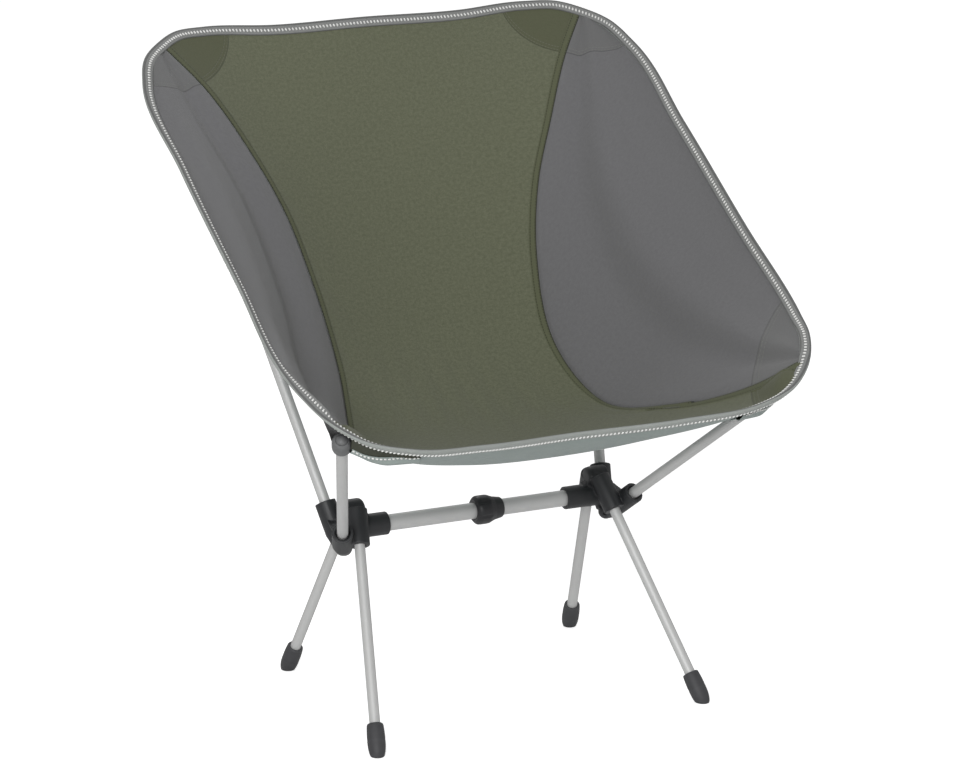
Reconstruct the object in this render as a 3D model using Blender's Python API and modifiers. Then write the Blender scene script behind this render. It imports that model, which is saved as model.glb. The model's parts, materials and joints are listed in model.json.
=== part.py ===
"""Packable camp chair: a shock-corded pole frame in two moulded hubs carries a taut fabric seat.

Metres, +Z up. The origin is on the ground below the middle of the seat's outline, the front faces
-Y, and the chair is symmetric about the plane X = 0. "Left" is -X.
"""

import math

import bmesh
import bpy
import numpy as np
from mathutils import Matrix, Vector

# ---- Driving dimensions -------------------------------------------------------------------

SIDES = {"left": -1.0, "right": 1.0}
GAP = 0.0003  # clearance between two pieces that rest on each other

# Frame lines, right-hand side. The poles meet in the hub's outer layer, the legs in its inner one.
BAR_HEIGHT = 0.190
BAR_Y = -0.007
POLE_MEET = Vector((0.1525, -0.005, 0.165))
LEG_MEET = Vector((0.138, -0.006, 0.225))
POLE_TIP = {"front": Vector((0.246, -0.229, 0.355)), "rear": Vector((0.239, 0.269, 0.6565))}
LEG_END = {"front": Vector((0.187, -0.172, 0.0)), "rear": Vector((0.170, 0.114, 0.0))}

POLE_RADIUS = 0.00585
LEG_RADIUS = 0.00565
BAR_RADIUS = 0.0087
TUBE_WALL = 0.0009
BAR_WALL = 0.0011
CORD_RADIUS = 0.0015

# Hub
SOCKET_RADIUS = 0.01125
BORE_CLEARANCE = 0.0003
POLE_START = 0.0130  # distance from POLE_MEET to the pole's inner end
POLE_MOUTH = {"front": 0.054, "rear": 0.055}
LEG_START = 0.0262
LEG_SOCKET_START = 0.0168
LEG_MOUTH = 0.0565
LUG_RADIUS = 0.0084
LUG_CENTRE = POLE_MEET + Vector((0.0, -0.0045, 0.0048))
TAPER = (0.0062, 0.0210)  # distances from POLE_MEET where a pole socket starts and is at full radius
SLEEVE_RADIUS = 0.0123
SLEEVE_MOUTH_X = 0.1035
BAR_END_X = 0.1320
HUB_CORE_RADIUS = 0.0125
CROWN_RADIUS = 0.0125
CROWN_TOP = 0.2208
CROWN_X = (0.1298, 0.1520)
CROWN_ROUND = 0.0055
HUB_CORE_X = (0.1292, 0.1573)
RIB_HALF = 0.0050
RIB = ((0.1228, 0.0060), (0.1258, 0.0146), (0.1340, 0.0146), (0.1340, 0.0060))  # (x, height over the bar)
DRAIN = LUG_CENTRE + Vector((-0.0044, -0.0070, -0.0008))
DRAIN_DEPTH = 0.0045
DRAIN_RADIUS = 0.0014
WEB_HALF = 0.0062
WEB_REACH = 0.041
CHAMFER_RADIUS = 0.0080
CHAMFER_DEPTH = 0.0045

# Crossbar joint
FERRULE_REACH = 0.045  # how far the ferrule goes into each half of the bar
COLLAR_RADIUS = 0.0158
COLLAR_LEFT = -0.0035
COLLAR_RIGHT = 0.0290

# Rear pole joint
REAR_SPLIT = 0.300  # distance from POLE_MEET to the joint between the two rear sections
REAR_FERRULE_REACH = 0.040

# Foot caps and pole tips
FOOT_RADIUS = 0.0094
FOOT_MOUTH = 0.034
FOOT_WEB = 0.0125
TIP_RADIUS = 0.0068
TIP_PLUG = 0.014
TIP_HEAD = 0.010

# Fabric seat
CLOTH = 0.0012
CLOTH_GAP = 0.0010  # clearance between two fabric solids
BINDING_WIDTH = 0.0120
BINDING_THICKNESS = 0.0026
POCKET_DEPTH = 0.046
POCKET_WALL = 0.0018

# Outline of the seat's right half, from the middle of the top edge to the middle of the front edge.
TOP_EDGE = [(0.0, 0.275, 0.673), (0.108, 0.275, 0.672), (0.189, 0.275, 0.676), (0.226, 0.265, 0.675)]
BACK_MEET = (0.250, 0.249, 0.668)
SIDE_EDGE = [
    (0.272, 0.229, 0.657),
    (0.287, 0.196, 0.636),
    (0.290, 0.081, 0.567),
    (0.288, -0.065, 0.481),
    (0.287, -0.183, 0.414),
    (0.281, -0.214, 0.399),
]
FRONT_MEET = (0.266, -0.241, 0.380)
FRONT_EDGE = [
    (0.238, -0.263, 0.362),
    (0.190, -0.277, 0.3505),
    (0.111, -0.267, 0.3425),
    (0.0, -0.248, 0.337),
]
# Seam between the middle panel and the right side panel, from BACK_MEET to FRONT_MEET.
SEAM = [
    (0.211, 0.214, 0.620),
    (0.178, 0.180, 0.560),
    (0.151, 0.154, 0.500),
    (0.132, 0.118, 0.422),
    (0.127, 0.063, 0.341),
    (0.146, -0.010, 0.294),
    (0.179, -0.108, 0.310),
    (0.217, -0.184, 0.342),
    (0.244, -0.224, 0.366),
]
# Profile of the seat along its middle, from the top edge to the front edge.
PROFILE = [
    (0.0, 0.275, 0.673),
    (0.0, 0.239, 0.595),
    (0.0, 0.201, 0.515),
    (0.0, 0.158, 0.425),
    (0.0, 0.098, 0.340),
    (0.0, 0.023, 0.291),
    (0.0, -0.067, 0.274),
    (0.0, -0.157, 0.292),
    (0.0, -0.248, 0.337),
]
SIDE_ROW_ENDS = (0.06, 0.94)  # share of the seam where the side panels' rows start and end
BINDING_REACH = {"back": 0.205, "front": 0.236}  # half-length in X of the two end bindings
EDGE_FADE = 8  # how quickly the middle panel's rows leave the shape of the end edges
# Where the corner patches end on the outline: across the top or front edge, and down the side edge.
PATCH_CUT = {
    "back": (Vector((0.163, 0.275, 0.673)), Vector((0.286, 0.201, 0.639))),
    "front": (Vector((0.200, -0.276, 0.348)), Vector((0.287, -0.157, 0.428))),
}
CORNER_POLE = {"back": "rear", "front": "front"}

CUTTER_SIZE = 0.3
TUBE_STEPS = 24
SMALL_STEPS = 16
CORD_STEPS = 8


# ---- Scene and materials ------------------------------------------------------------------

def clear_scene():
    for obj in list(bpy.data.objects):
        bpy.data.objects.remove(obj, do_unlink=True)


def new_collection(name, hidden=False):
    collection = bpy.data.collections.new(name)
    bpy.context.scene.collection.children.link(collection)
    collection.hide_render = hidden
    return collection


def make_material(name, colour, roughness, metallic=0.0):
    material = bpy.data.materials.new(name)
    material.use_nodes = True
    shader = material.node_tree.nodes["Principled BSDF"]
    shader.inputs["Base Color"].default_value = (*colour, 1.0)
    shader.inputs["Roughness"].default_value = roughness
    shader.inputs["Metallic"].default_value = metallic
    material.diffuse_color = (*colour, 1.0)
    return material


def add_object(name, mesh, material=None, cutter=False):
    obj = bpy.data.objects.new(name, mesh)
    (cutters if cutter else parts).objects.link(obj)
    if cutter:
        obj.hide_render = True
        obj.display_type = "WIRE"
    if material:
        mesh.materials.append(materials[material])
    return obj


def place_along(obj, start, direction):
    """Puts the object's origin at start and its local Z along direction."""
    obj.location = start
    obj.rotation_mode = "QUATERNION"
    obj.rotation_quaternion = Vector(direction).to_track_quat("Z", "Y")


def mirror_x(point, side):
    return Vector((point[0] * side, point[1], point[2]))


# ---- Shape helpers ------------------------------------------------------------------------

def turned(name, profile, steps, start, direction, material=None, cutter=False):
    """A profile of (radius, height) points, down the outer side, turned about direction."""
    mesh = bpy.data.meshes.new(name)
    closed = all(radius > 0.0 for radius, _ in profile)
    count = len(profile)
    edges = [(i, i + 1) for i in range(count - 1)] + ([(count - 1, 0)] if closed else [])
    mesh.from_pydata([(radius, 0.0, height) for radius, height in profile], edges, [])
    obj = add_object(name, mesh, material, cutter)
    place_along(obj, start, direction)
    screw = obj.modifiers.new("Screw", "SCREW")
    screw.axis = "Z"
    screw.steps = steps
    screw.render_steps = steps
    screw.use_merge_vertices = True
    screw.merge_threshold = 0.00001
    screw.use_smooth_shade = True
    return obj


def tube(name, start, end, radius, wall, material):
    """A hollow tube between two points, open at both ends."""
    axis = end - start
    inner = radius - wall
    length = axis.length
    profile = [(radius, length), (radius, 0.0), (inner, 0.0), (inner, length)]
    return turned(name, profile, TUBE_STEPS, start, axis, material)


def rod(name, start, end, radius, steps, material=None, cutter=False):
    axis = end - start
    profile = [(0.0, axis.length), (radius, axis.length), (radius, 0.0), (0.0, 0.0)]
    return turned(name, profile, steps, start, axis, material, cutter)


def ball(name, centre, radius, cutter=True):
    mesh = bpy.data.meshes.new(name)
    shape = bmesh.new()
    bmesh.ops.create_uvsphere(shape, u_segments=16, v_segments=10, radius=radius)
    shape.to_mesh(mesh)
    shape.free()
    obj = add_object(name, mesh, cutter=cutter)
    obj.location = centre
    return obj


def hull_of(name, points, material=None, cutter=False):
    mesh = bpy.data.meshes.new(name)
    shape = bmesh.new()
    for point in points:
        shape.verts.new(point)
    result = bmesh.ops.convex_hull(shape, input=shape.verts)
    loose = [item for item in result["geom_interior"] if isinstance(item, bmesh.types.BMVert)]
    bmesh.ops.delete(shape, geom=loose, context="VERTS")
    bmesh.ops.recalc_face_normals(shape, faces=shape.faces)
    shape.to_mesh(mesh)
    shape.free()
    return add_object(name, mesh, material, cutter)


def combine(obj, other, operation, solver="EXACT"):
    modifier = obj.modifiers.new(other.name, "BOOLEAN")
    modifier.operation = operation
    modifier.solver = solver
    modifier.object = other


def baked(obj, mirror=False):
    """The object's evaluated mesh in world space, mirrored in X = 0 if asked."""
    bpy.context.view_layer.update()
    evaluated = obj.evaluated_get(bpy.context.evaluated_depsgraph_get())
    mesh = bpy.data.meshes.new_from_object(evaluated)
    mesh.transform(evaluated.matrix_world)
    if mirror:
        mesh.transform(Matrix.Scale(-1.0, 4, (1.0, 0.0, 0.0)))
        mesh.flip_normals()
    return mesh


# ---- Curves of the seat -------------------------------------------------------------------

def smooth_path(points, samples=1200, mirror_ends=False):
    """Evenly spaced samples of a smooth curve through the points."""
    knots = np.array(points, float)
    if mirror_ends:
        flip = np.array([-1.0, 1.0, 1.0])
        knots = np.vstack([knots[1] * flip, knots, knots[-2] * flip])
    spans = np.linalg.norm(np.diff(knots, axis=0), axis=1)
    slopes = np.diff(knots, axis=0) / spans[:, None]
    weighted = slopes[:-1] * spans[1:, None] + slopes[1:] * spans[:-1, None]
    inner = weighted / (spans[:-1] + spans[1:])[:, None]
    tangents = np.vstack([slopes[0], inner, slopes[-1]])
    first, last = (1, len(knots) - 2) if mirror_ends else (0, len(knots) - 1)
    pieces = []
    for i in range(first, last):
        s = np.linspace(0.0, 1.0, 60)[:, None]
        start, end = knots[i], knots[i + 1]
        pull_a, pull_b = tangents[i] * spans[i], tangents[i + 1] * spans[i]
        pieces.append(
            (2 * s**3 - 3 * s**2 + 1) * start
            + (s**3 - 2 * s**2 + s) * pull_a
            + (3 * s**2 - 2 * s**3) * end
            + (s**3 - s**2) * pull_b
        )
    curve = np.vstack(pieces)
    length = np.concatenate([[0.0], np.cumsum(np.linalg.norm(np.diff(curve, axis=0), axis=1))])
    keep = np.concatenate([[True], np.diff(length) > 0.0])
    even = np.linspace(0.0, length[-1], samples)
    return np.stack([np.interp(even, length[keep], curve[keep, k]) for k in range(3)], axis=1)


def along(path, t):
    """The point at fraction t of an evenly sampled path."""
    place = np.clip(t, 0.0, 1.0) * (len(path) - 1)
    return np.array([np.interp(place, np.arange(len(path)), path[:, k]) for k in range(3)])


def at_width(edge, x):
    """The point of an end edge at distance x from the middle plane."""
    order = np.argsort(edge[:, 0])
    width = abs(x)
    y = np.interp(width, edge[order, 0], edge[order, 1])
    z = np.interp(width, edge[order, 0], edge[order, 2])
    return np.array([x, y, z])


def nearest(path, point):
    return int(np.argmin(np.linalg.norm(path - np.array(point), axis=1)))


def seat_curves():
    knots = [*TOP_EDGE, BACK_MEET, *SIDE_EDGE, FRONT_MEET, *FRONT_EDGE]
    outline = smooth_path(knots, 2400, mirror_ends=True)
    back, front = nearest(outline, BACK_MEET), nearest(outline, FRONT_MEET)
    return {
        "outline": outline,
        "top": outline[: back + 1],
        "side": smooth_path(outline[back : front + 1 : 12]),
        "front": outline[front:],
        "seam": smooth_path([BACK_MEET, *SEAM, FRONT_MEET]),
        "middle": smooth_path(PROFILE),
    }


def middle_point(u, t):
    """A point of the middle panel: u from -1 to 1 across, t from 0 at the top to 1 at the front."""

    def row(share, u):
        seam, middle = along(curves["seam"], share), along(curves["middle"], share)
        point = middle * (1.0 - u * u) + seam * u * u
        point[0] = u * seam[0]
        return point

    point = row(t, u)
    top, front = row(0.0, u), row(1.0, u)
    point += (at_width(curves["top"], top[0]) - top) * (1.0 - t) ** EDGE_FADE
    point += (at_width(curves["front"], front[0]) - front) * t**EDGE_FADE
    return point


def side_point(w, t):
    """A point of the right side panel: w from 0 at the seam to 1 at the outline."""
    return along(curves["seam"], t) * (1.0 - w) + along(curves["side"], t) * w


# ---- Fabric solids ------------------------------------------------------------------------

def sheet(name, rows, material, thickness, mirror=1.0):
    """A closed sheet: a grid of points given a thickness about its middle surface."""
    mesh = bpy.data.meshes.new(name)
    count = len(rows[0])
    points = [mirror_x(point, mirror) for row in rows for point in row]
    faces = []
    for i in range(len(rows) - 1):
        for j in range(count - 1):
            a = i * count + j
            face = (a, a + 1, a + count + 1, a + count)
            faces.append(face if mirror > 0 else face[::-1])
    mesh.from_pydata(points, [], faces)
    mesh.shade_smooth()
    obj = add_object(name, mesh, material)
    solid = obj.modifiers.new("Solidify", "SOLIDIFY")
    solid.thickness = thickness
    solid.offset = 0.0
    solid.use_even_offset = True
    return obj


def cut_plane(corner, side):
    """(point, unit normal) of the plane that parts a corner pocket from the seat; it points outward."""
    across, down = (mirror_x(point, side) for point in PATCH_CUT[corner])
    tip = mirror_x(BACK_MEET if corner == "back" else FRONT_MEET, side)
    face = (across - tip).cross(down - tip)
    normal = face.cross(down - across).normalized()
    if normal.dot(tip - across) < 0.0:
        normal.negate()
    return across, normal


def corner_cutter(corner, side_name):
    """A large block beyond the corner's cut plane."""
    point, normal = cut_plane(corner, SIDES[side_name])
    mesh = bpy.data.meshes.new("block")
    shape = bmesh.new()
    bmesh.ops.create_cube(shape, size=CUTTER_SIZE)
    bmesh.ops.translate(shape, verts=shape.verts, vec=(0.0, 0.0, CUTTER_SIZE / 2.0))
    shape.to_mesh(mesh)
    shape.free()
    block = add_object(f"corner_block_{corner}_{side_name}", mesh, cutter=True)
    tip = mirror_x(BACK_MEET if corner == "back" else FRONT_MEET, SIDES[side_name])
    foot = tip - normal * (tip - point).dot(normal)
    place_along(block, foot, normal)
    return block


def end_margin(width):
    """The share of the middle panel's length that a strip of this width takes."""
    return width / np.linalg.norm(np.diff(curves["middle"], axis=0), axis=1).sum()


def build_middle_panel(blocks):
    margin = end_margin(BINDING_WIDTH + CLOTH_GAP)
    rows = []
    for t in np.linspace(margin, 1.0 - margin, 19):
        reach = 1.0 - (CLOTH + CLOTH_GAP) / along(curves["seam"], t)[0]
        rows.append([middle_point(u, t) for u in np.linspace(-reach, reach, 13)])
    panel = sheet("seat_panel_middle", rows, "sling_fabric", CLOTH)
    for block in blocks.values():
        combine(panel, block, "DIFFERENCE")


def side_rows(count, rim_margin, strip_width=None):
    """Rows of the right side panel, from rim_margin inside the outline for strip_width or to the seam."""
    rows = []
    for t in np.linspace(SIDE_ROW_ENDS[0], SIDE_ROW_ENDS[1], 19):
        width = np.linalg.norm(along(curves["side"], t) - along(curves["seam"], t))
        near = 1.0 - rim_margin / width
        far = (CLOTH + CLOTH_GAP) / width if strip_width is None else near - strip_width / width
        rows.append([side_point(w, t) for w in np.linspace(far, near, count)])
    return rows


def build_side_panel(side_name, blocks):
    rows = side_rows(6, BINDING_WIDTH + CLOTH_GAP)
    panel = sheet(f"seat_panel_{side_name}", rows, "side_fabric", CLOTH, SIDES[side_name])
    for corner in ("back", "front"):
        combine(panel, blocks[corner, side_name], "DIFFERENCE")


def build_bindings(blocks):
    margin = end_margin(BINDING_WIDTH)
    for name, t, curve in (("back", margin, "top"), ("front", 1.0 - margin, "front")):
        seam_width = along(curves["seam"], t)[0]
        rows = []
        for x in np.linspace(-BINDING_REACH[name], BINDING_REACH[name], 21):
            rows.append([at_width(curves[curve], x), middle_point(x / seam_width, t)])
        strip = sheet(f"binding_{name}", rows, "binding_tape", BINDING_THICKNESS)
        for side_name in SIDES:
            combine(strip, blocks[name, side_name], "DIFFERENCE")
    for side_name, side in SIDES.items():
        rows = side_rows(2, 0.0, BINDING_WIDTH)
        strip = sheet(f"binding_{side_name}", rows, "binding_tape", BINDING_THICKNESS, side)
        for corner in ("back", "front"):
            combine(strip, blocks[corner, side_name], "DIFFERENCE")


def ring_points(centre, axis, radius, count=12):
    turn = Vector(axis).to_track_quat("Z", "Y")
    for i in range(count):
        angle = 2.0 * math.pi * i / count
        yield centre + turn @ Vector((radius * math.cos(angle), radius * math.sin(angle), 0.0))


def build_pocket(corner, side_name):
    """A fabric corner with the pouch behind it that holds the pole tip, as one wedge with a bore."""
    side = SIDES[side_name]
    point, normal = cut_plane(corner, side)
    outline = curves["outline"]
    middle = nearest(outline, BACK_MEET if corner == "back" else FRONT_MEET)
    reach = int(0.16 * len(outline) / np.linalg.norm(np.diff(outline, axis=0), axis=1).sum())
    tip = mirror_x(POLE_TIP[CORNER_POLE[corner]], side)
    axis = (tip - mirror_x(POLE_MEET, side)).normalized()
    inner = [mirror_x(p, side) for p in PATCH_CUT[corner]]
    face = (inner[0] - tip).cross(inner[1] - tip).normalized() * (BINDING_THICKNESS / 2.0)
    cloud = []
    rims = [mirror_x(outline[index], side) for index in range(middle - reach, middle + reach + 1, 24)]
    rims = [rim for rim in rims if (rim - point).dot(normal) > 0.0]
    for rim in [*rims, *inner]:
        cloud += [rim + face, rim - face]
    pouch = TIP_RADIUS + GAP + POCKET_WALL
    mouth = tip - axis * (POCKET_DEPTH * 0.55)
    end = tip + axis * (TIP_HEAD * 0.5)
    cloud += [*ring_points(mouth, axis, pouch), *ring_points(end, axis, pouch * 0.8)]
    cloud = [p + normal * max(0.0, 2.0 * GAP - (p - point).dot(normal)) for p in cloud]
    pocket = hull_of(f"pocket_{corner}_{side_name}", cloud, "pocket_fabric")
    bore = rod(
        f"pocket_bore_{corner}_{side_name}",
        mouth - axis * POCKET_DEPTH,
        tip + axis * (TIP_HEAD * 0.5 - POCKET_WALL),
        TIP_RADIUS + GAP,
        SMALL_STEPS,
        cutter=True,
    )
    combine(pocket, bore, "DIFFERENCE")
    return pocket


# ---- Hubs and crossbar --------------------------------------------------------------------

def on_bar(x):
    """The point of the crossbar's axis at x."""
    return Vector((x, BAR_Y, BAR_HEIGHT))


def build_hub():
    """The right-hand hub: a V of pole sockets, an inverted V of leg sockets and the bar's sleeve."""
    front = (POLE_TIP["front"] - POLE_MEET).normalized()
    rear = (POLE_TIP["rear"] - POLE_MEET).normalized()
    bar = Vector((1.0, 0.0, 0.0))
    core_ends = on_bar(HUB_CORE_X[0]), on_bar(HUB_CORE_X[1])
    hub = rod("hub_right", *core_ends, HUB_CORE_RADIUS, 30, "hub_plastic")
    width = CROWN_X[1] - CROWN_X[0]
    crown = [(0.0, width), (CROWN_RADIUS, width)]
    for angle in (math.radians(22.5 * i) for i in range(5)):
        height = CROWN_ROUND * (1.0 - math.sin(angle))
        crown.append((CROWN_RADIUS - CROWN_ROUND * (1.0 - math.cos(angle)), height))
    crown.append((0.0, 0.0))
    crown_start = Vector((CROWN_X[0], LEG_MEET.y, CROWN_TOP - CROWN_RADIUS))
    rib = [on_bar(x) + Vector((0.0, y, z)) for x, z in RIB for y in (-RIB_HALF, RIB_HALF)]
    additions = [
        ball("hub_lug", LUG_CENTRE, LUG_RADIUS),
        turned("hub_crown", crown, 28, crown_start, bar, cutter=True),
        rod("hub_sleeve", on_bar(SLEEVE_MOUTH_X), on_bar(0.140), SLEEVE_RADIUS, 28, cutter=True),
        hull_of("hub_rib", rib, cutter=True),
    ]
    for name, direction in (("front", front), ("rear", rear)):
        socket = [
            (0.0, POLE_MOUTH[name]),
            (SOCKET_RADIUS, POLE_MOUTH[name]),
            (SOCKET_RADIUS, TAPER[1]),
            (LUG_RADIUS * 0.93, TAPER[0]),
            (0.0, TAPER[0]),
        ]
        additions.append(turned(f"hub_pole_socket_{name}", socket, 24, POLE_MEET, direction, cutter=True))
    for name, leg_end in LEG_END.items():
        direction = (leg_end - LEG_MEET).normalized()
        start, end = LEG_MEET + direction * LEG_SOCKET_START, LEG_MEET + direction * LEG_MOUTH
        socket = rod(f"hub_leg_socket_{name}", start, end, SOCKET_RADIUS * 0.985, 24, cutter=True)
        additions.append(socket)
    web = [LUG_CENTRE, POLE_MEET + front * WEB_REACH, POLE_MEET + rear * WEB_REACH]
    cloud = [point + bar * offset for point in web for offset in (-WEB_HALF, WEB_HALF)]
    additions.append(hull_of("hub_web", cloud, cutter=True))
    for addition in additions:
        combine(hub, addition, "UNION", "MANIFOLD")

    bore = POLE_RADIUS + BORE_CLEARANCE
    cuts = []
    for name, direction in (("front", front), ("rear", rear)):
        start, length = POLE_MEET + direction * (POLE_START - GAP), POLE_MOUTH[name] - POLE_START + GAP
        flared_bore = [
            (0.0, length + 0.020),
            (CHAMFER_RADIUS + 0.0012, length + 0.020),
            (CHAMFER_RADIUS + 0.0012, length + 0.002),
            (bore, length - CHAMFER_DEPTH),
            (bore, 0.0),
            (0.0, 0.0),
        ]
        cutter = turned(f"hub_pole_bore_{name}", flared_bore, TUBE_STEPS, start, direction, cutter=True)
        cuts.append(cutter)
    bore = LEG_RADIUS + BORE_CLEARANCE
    for name, leg_end in LEG_END.items():
        direction = (leg_end - LEG_MEET).normalized()
        start, mouth = LEG_MEET + direction * (LEG_START - GAP), LEG_MEET + direction * (LEG_MOUTH + 0.02)
        cuts.append(rod(f"hub_leg_bore_{name}", start, mouth, bore, TUBE_STEPS, cutter=True))
    start, end = on_bar(SLEEVE_MOUTH_X - 0.01), on_bar(BAR_END_X + GAP)
    cuts.append(rod("hub_bar_bore", start, end, BAR_RADIUS + BORE_CLEARANCE, TUBE_STEPS, cutter=True))
    inward = Vector((0.0, DRAIN_DEPTH, 0.0))
    cuts.append(rod("hub_drain", DRAIN - inward, DRAIN + inward, DRAIN_RADIUS, 10, cutter=True))
    for cut in cuts:
        combine(hub, cut, "DIFFERENCE", "MANIFOLD")

    solid = baked(hub)
    mirrored = baked(hub, mirror=True)
    bpy.data.objects.remove(hub, do_unlink=True)
    for name, mesh in (("hub_right", solid), ("hub_left", mirrored)):
        mesh.shade_smooth()
        mesh.set_sharp_from_angle(angle=math.radians(35.0))
        mesh.name = name
        side = 1.0 if name == "hub_right" else -1.0
        centre = on_bar(POLE_MEET.x * side)
        mesh.transform(Matrix.Translation(-centre))
        obj = add_object(name, mesh)
        obj.location = centre


def build_crossbar():
    tube("crossbar_tube_right", on_bar(BAR_END_X), on_bar(GAP), BAR_RADIUS, BAR_WALL, "tube_alloy")
    tube("crossbar_tube_left", on_bar(-BAR_END_X), on_bar(-GAP), BAR_RADIUS, BAR_WALL, "tube_alloy")
    inner = BAR_RADIUS - BAR_WALL - GAP
    ends = on_bar(FERRULE_REACH), on_bar(-FERRULE_REACH)
    tube("crossbar_ferrule", *ends, inner, TUBE_WALL, "ferrule_alloy")
    bore = BAR_RADIUS + GAP
    length = COLLAR_RIGHT - COLLAR_LEFT
    profile = [
        (bore + 0.0010, length),
        (bore + 0.0020, length - 0.0012),
        (COLLAR_RADIUS * 0.80, length - 0.0100),
        (COLLAR_RADIUS * 0.97, length - 0.0165),
        (COLLAR_RADIUS, length - 0.0190),
        (COLLAR_RADIUS, 0.0052),
        (COLLAR_RADIUS * 0.94, 0.0026),
        (bore + 0.0030, 0.0),
        (bore, 0.0006),
        (bore, length),
    ]
    collar = turned("crossbar_collar", profile, 32, on_bar(COLLAR_LEFT), (1.0, 0.0, 0.0), "collar_plastic")
    for i in range(6):
        angle = math.radians(60.0 * i + 12.0)
        centre = Vector((0.0, math.cos(angle), math.sin(angle))) * (COLLAR_RADIUS + 0.0030)
        start, end = on_bar(COLLAR_LEFT - 0.002) + centre, on_bar(COLLAR_RIGHT + 0.002) + centre
        combine(collar, rod(f"collar_groove_{i}", start, end, 0.0040, 14, cutter=True), "DIFFERENCE")
    end = BAR_END_X - 0.004
    rod("cord_crossbar", on_bar(-end), on_bar(end), CORD_RADIUS, CORD_STEPS, "shock_cord")


# ---- Legs, poles and their ends -----------------------------------------------------------

def build_leg(place, side_name):
    side = SIDES[side_name]
    top, ground = mirror_x(LEG_MEET, side), mirror_x(LEG_END[place], side)
    axis = (ground - top).normalized()
    length = (ground - top).length
    start, end = top + axis * LEG_START, top + axis * (length - FOOT_WEB)
    tube(f"leg_{place}_{side_name}", start, end, LEG_RADIUS, TUBE_WALL, "tube_alloy")
    cord_end = end - axis * GAP
    rod(f"cord_leg_{place}_{side_name}", start, cord_end, CORD_RADIUS, CORD_STEPS, "shock_cord")
    build_foot(f"foot_{place}_{side_name}", end, axis)


def build_foot(name, tube_end, axis):
    """A rubber cap over the leg's end: a blind bore, a round nose, and a sole cut flat on the ground."""
    bore = LEG_RADIUS + GAP
    depth = FOOT_MOUTH - FOOT_WEB
    nose = FOOT_WEB + 0.004
    profile = [
        (bore, depth),
        (bore + 0.0016, depth),
        (FOOT_RADIUS - 0.0012, depth - 0.003),
        (FOOT_RADIUS, depth - 0.009),
        (FOOT_RADIUS, 0.0),
    ]
    for i in range(1, 6):
        angle = math.radians(90.0 * i / 5)
        profile.append((FOOT_RADIUS * math.cos(angle), -nose * math.sin(angle)))
    profile[-1] = (0.0, -nose)
    shell = [(0.0, -GAP), (bore, -GAP), *profile]
    cap = turned(name, shell, SMALL_STEPS, tube_end, -axis, "foot_rubber")
    mesh = bpy.data.meshes.new("ground")
    shape = bmesh.new()
    bmesh.ops.create_cube(shape, size=0.08)
    bmesh.ops.translate(shape, verts=shape.verts, vec=(0.0, 0.0, -0.04))
    shape.to_mesh(mesh)
    shape.free()
    ground = add_object(f"ground_{name}", mesh, cutter=True)
    ground.location = (tube_end.x, tube_end.y, 0.0)
    combine(cap, ground, "DIFFERENCE")


def build_pole(place, side_name):
    side = SIDES[side_name]
    meet, tip = mirror_x(POLE_MEET, side), mirror_x(POLE_TIP[place], side)
    axis = (tip - meet).normalized()
    length = (tip - meet).length - TIP_HEAD
    start, end = meet + axis * POLE_START, meet + axis * length
    if place == "front":
        tube(f"pole_front_{side_name}", start, end, POLE_RADIUS, TUBE_WALL, "tube_alloy")
    else:
        split = meet + axis * REAR_SPLIT
        reach = axis * REAR_FERRULE_REACH
        lower_end = split - axis * GAP
        tube(f"pole_rear_lower_{side_name}", start, lower_end, POLE_RADIUS, TUBE_WALL, "tube_alloy")
        tube(f"pole_rear_upper_{side_name}", split, end, POLE_RADIUS, TUBE_WALL, "tube_alloy")
        inner = POLE_RADIUS - TUBE_WALL - GAP
        tube(f"ferrule_rear_{side_name}", split - reach, split + reach, inner, TUBE_WALL, "ferrule_alloy")
    plug_end = end - axis * (TIP_PLUG + GAP)
    rod(f"cord_pole_{place}_{side_name}", start, plug_end, CORD_RADIUS, CORD_STEPS, "shock_cord")
    plug = POLE_RADIUS - TUBE_WALL - GAP
    profile = [(0.0, TIP_HEAD)]
    for i in range(1, 5):
        angle = math.radians(90.0 * i / 4)
        profile.append((TIP_RADIUS * math.sin(angle), TIP_HEAD - 0.005 * (1.0 - math.cos(angle))))
    profile += [
        (TIP_RADIUS, GAP),
        (plug, GAP),
        (plug, -TIP_PLUG + 0.001),
        (plug - 0.001, -TIP_PLUG),
        (0.0, -TIP_PLUG),
    ]
    turned(f"tip_{place}_{side_name}", profile, SMALL_STEPS, end, axis, "tip_plastic")


# ---- Grouping -----------------------------------------------------------------------------

def add_group(name, location, members, parent=None):
    """An empty on a joint's axis, which its pieces hang from."""
    empty = bpy.data.objects.new(name, None)
    parts.objects.link(empty)
    empty.empty_display_size = 0.02
    empty.location = location
    bpy.context.view_layer.update()
    for member in [bpy.data.objects[m] for m in members]:
        member.parent = empty
        member.matrix_parent_inverse = empty.matrix_world.inverted()
    if parent:
        empty.parent = parent
        empty.matrix_parent_inverse = parent.matrix_world.inverted()
        bpy.context.view_layer.update()
    return empty


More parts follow.
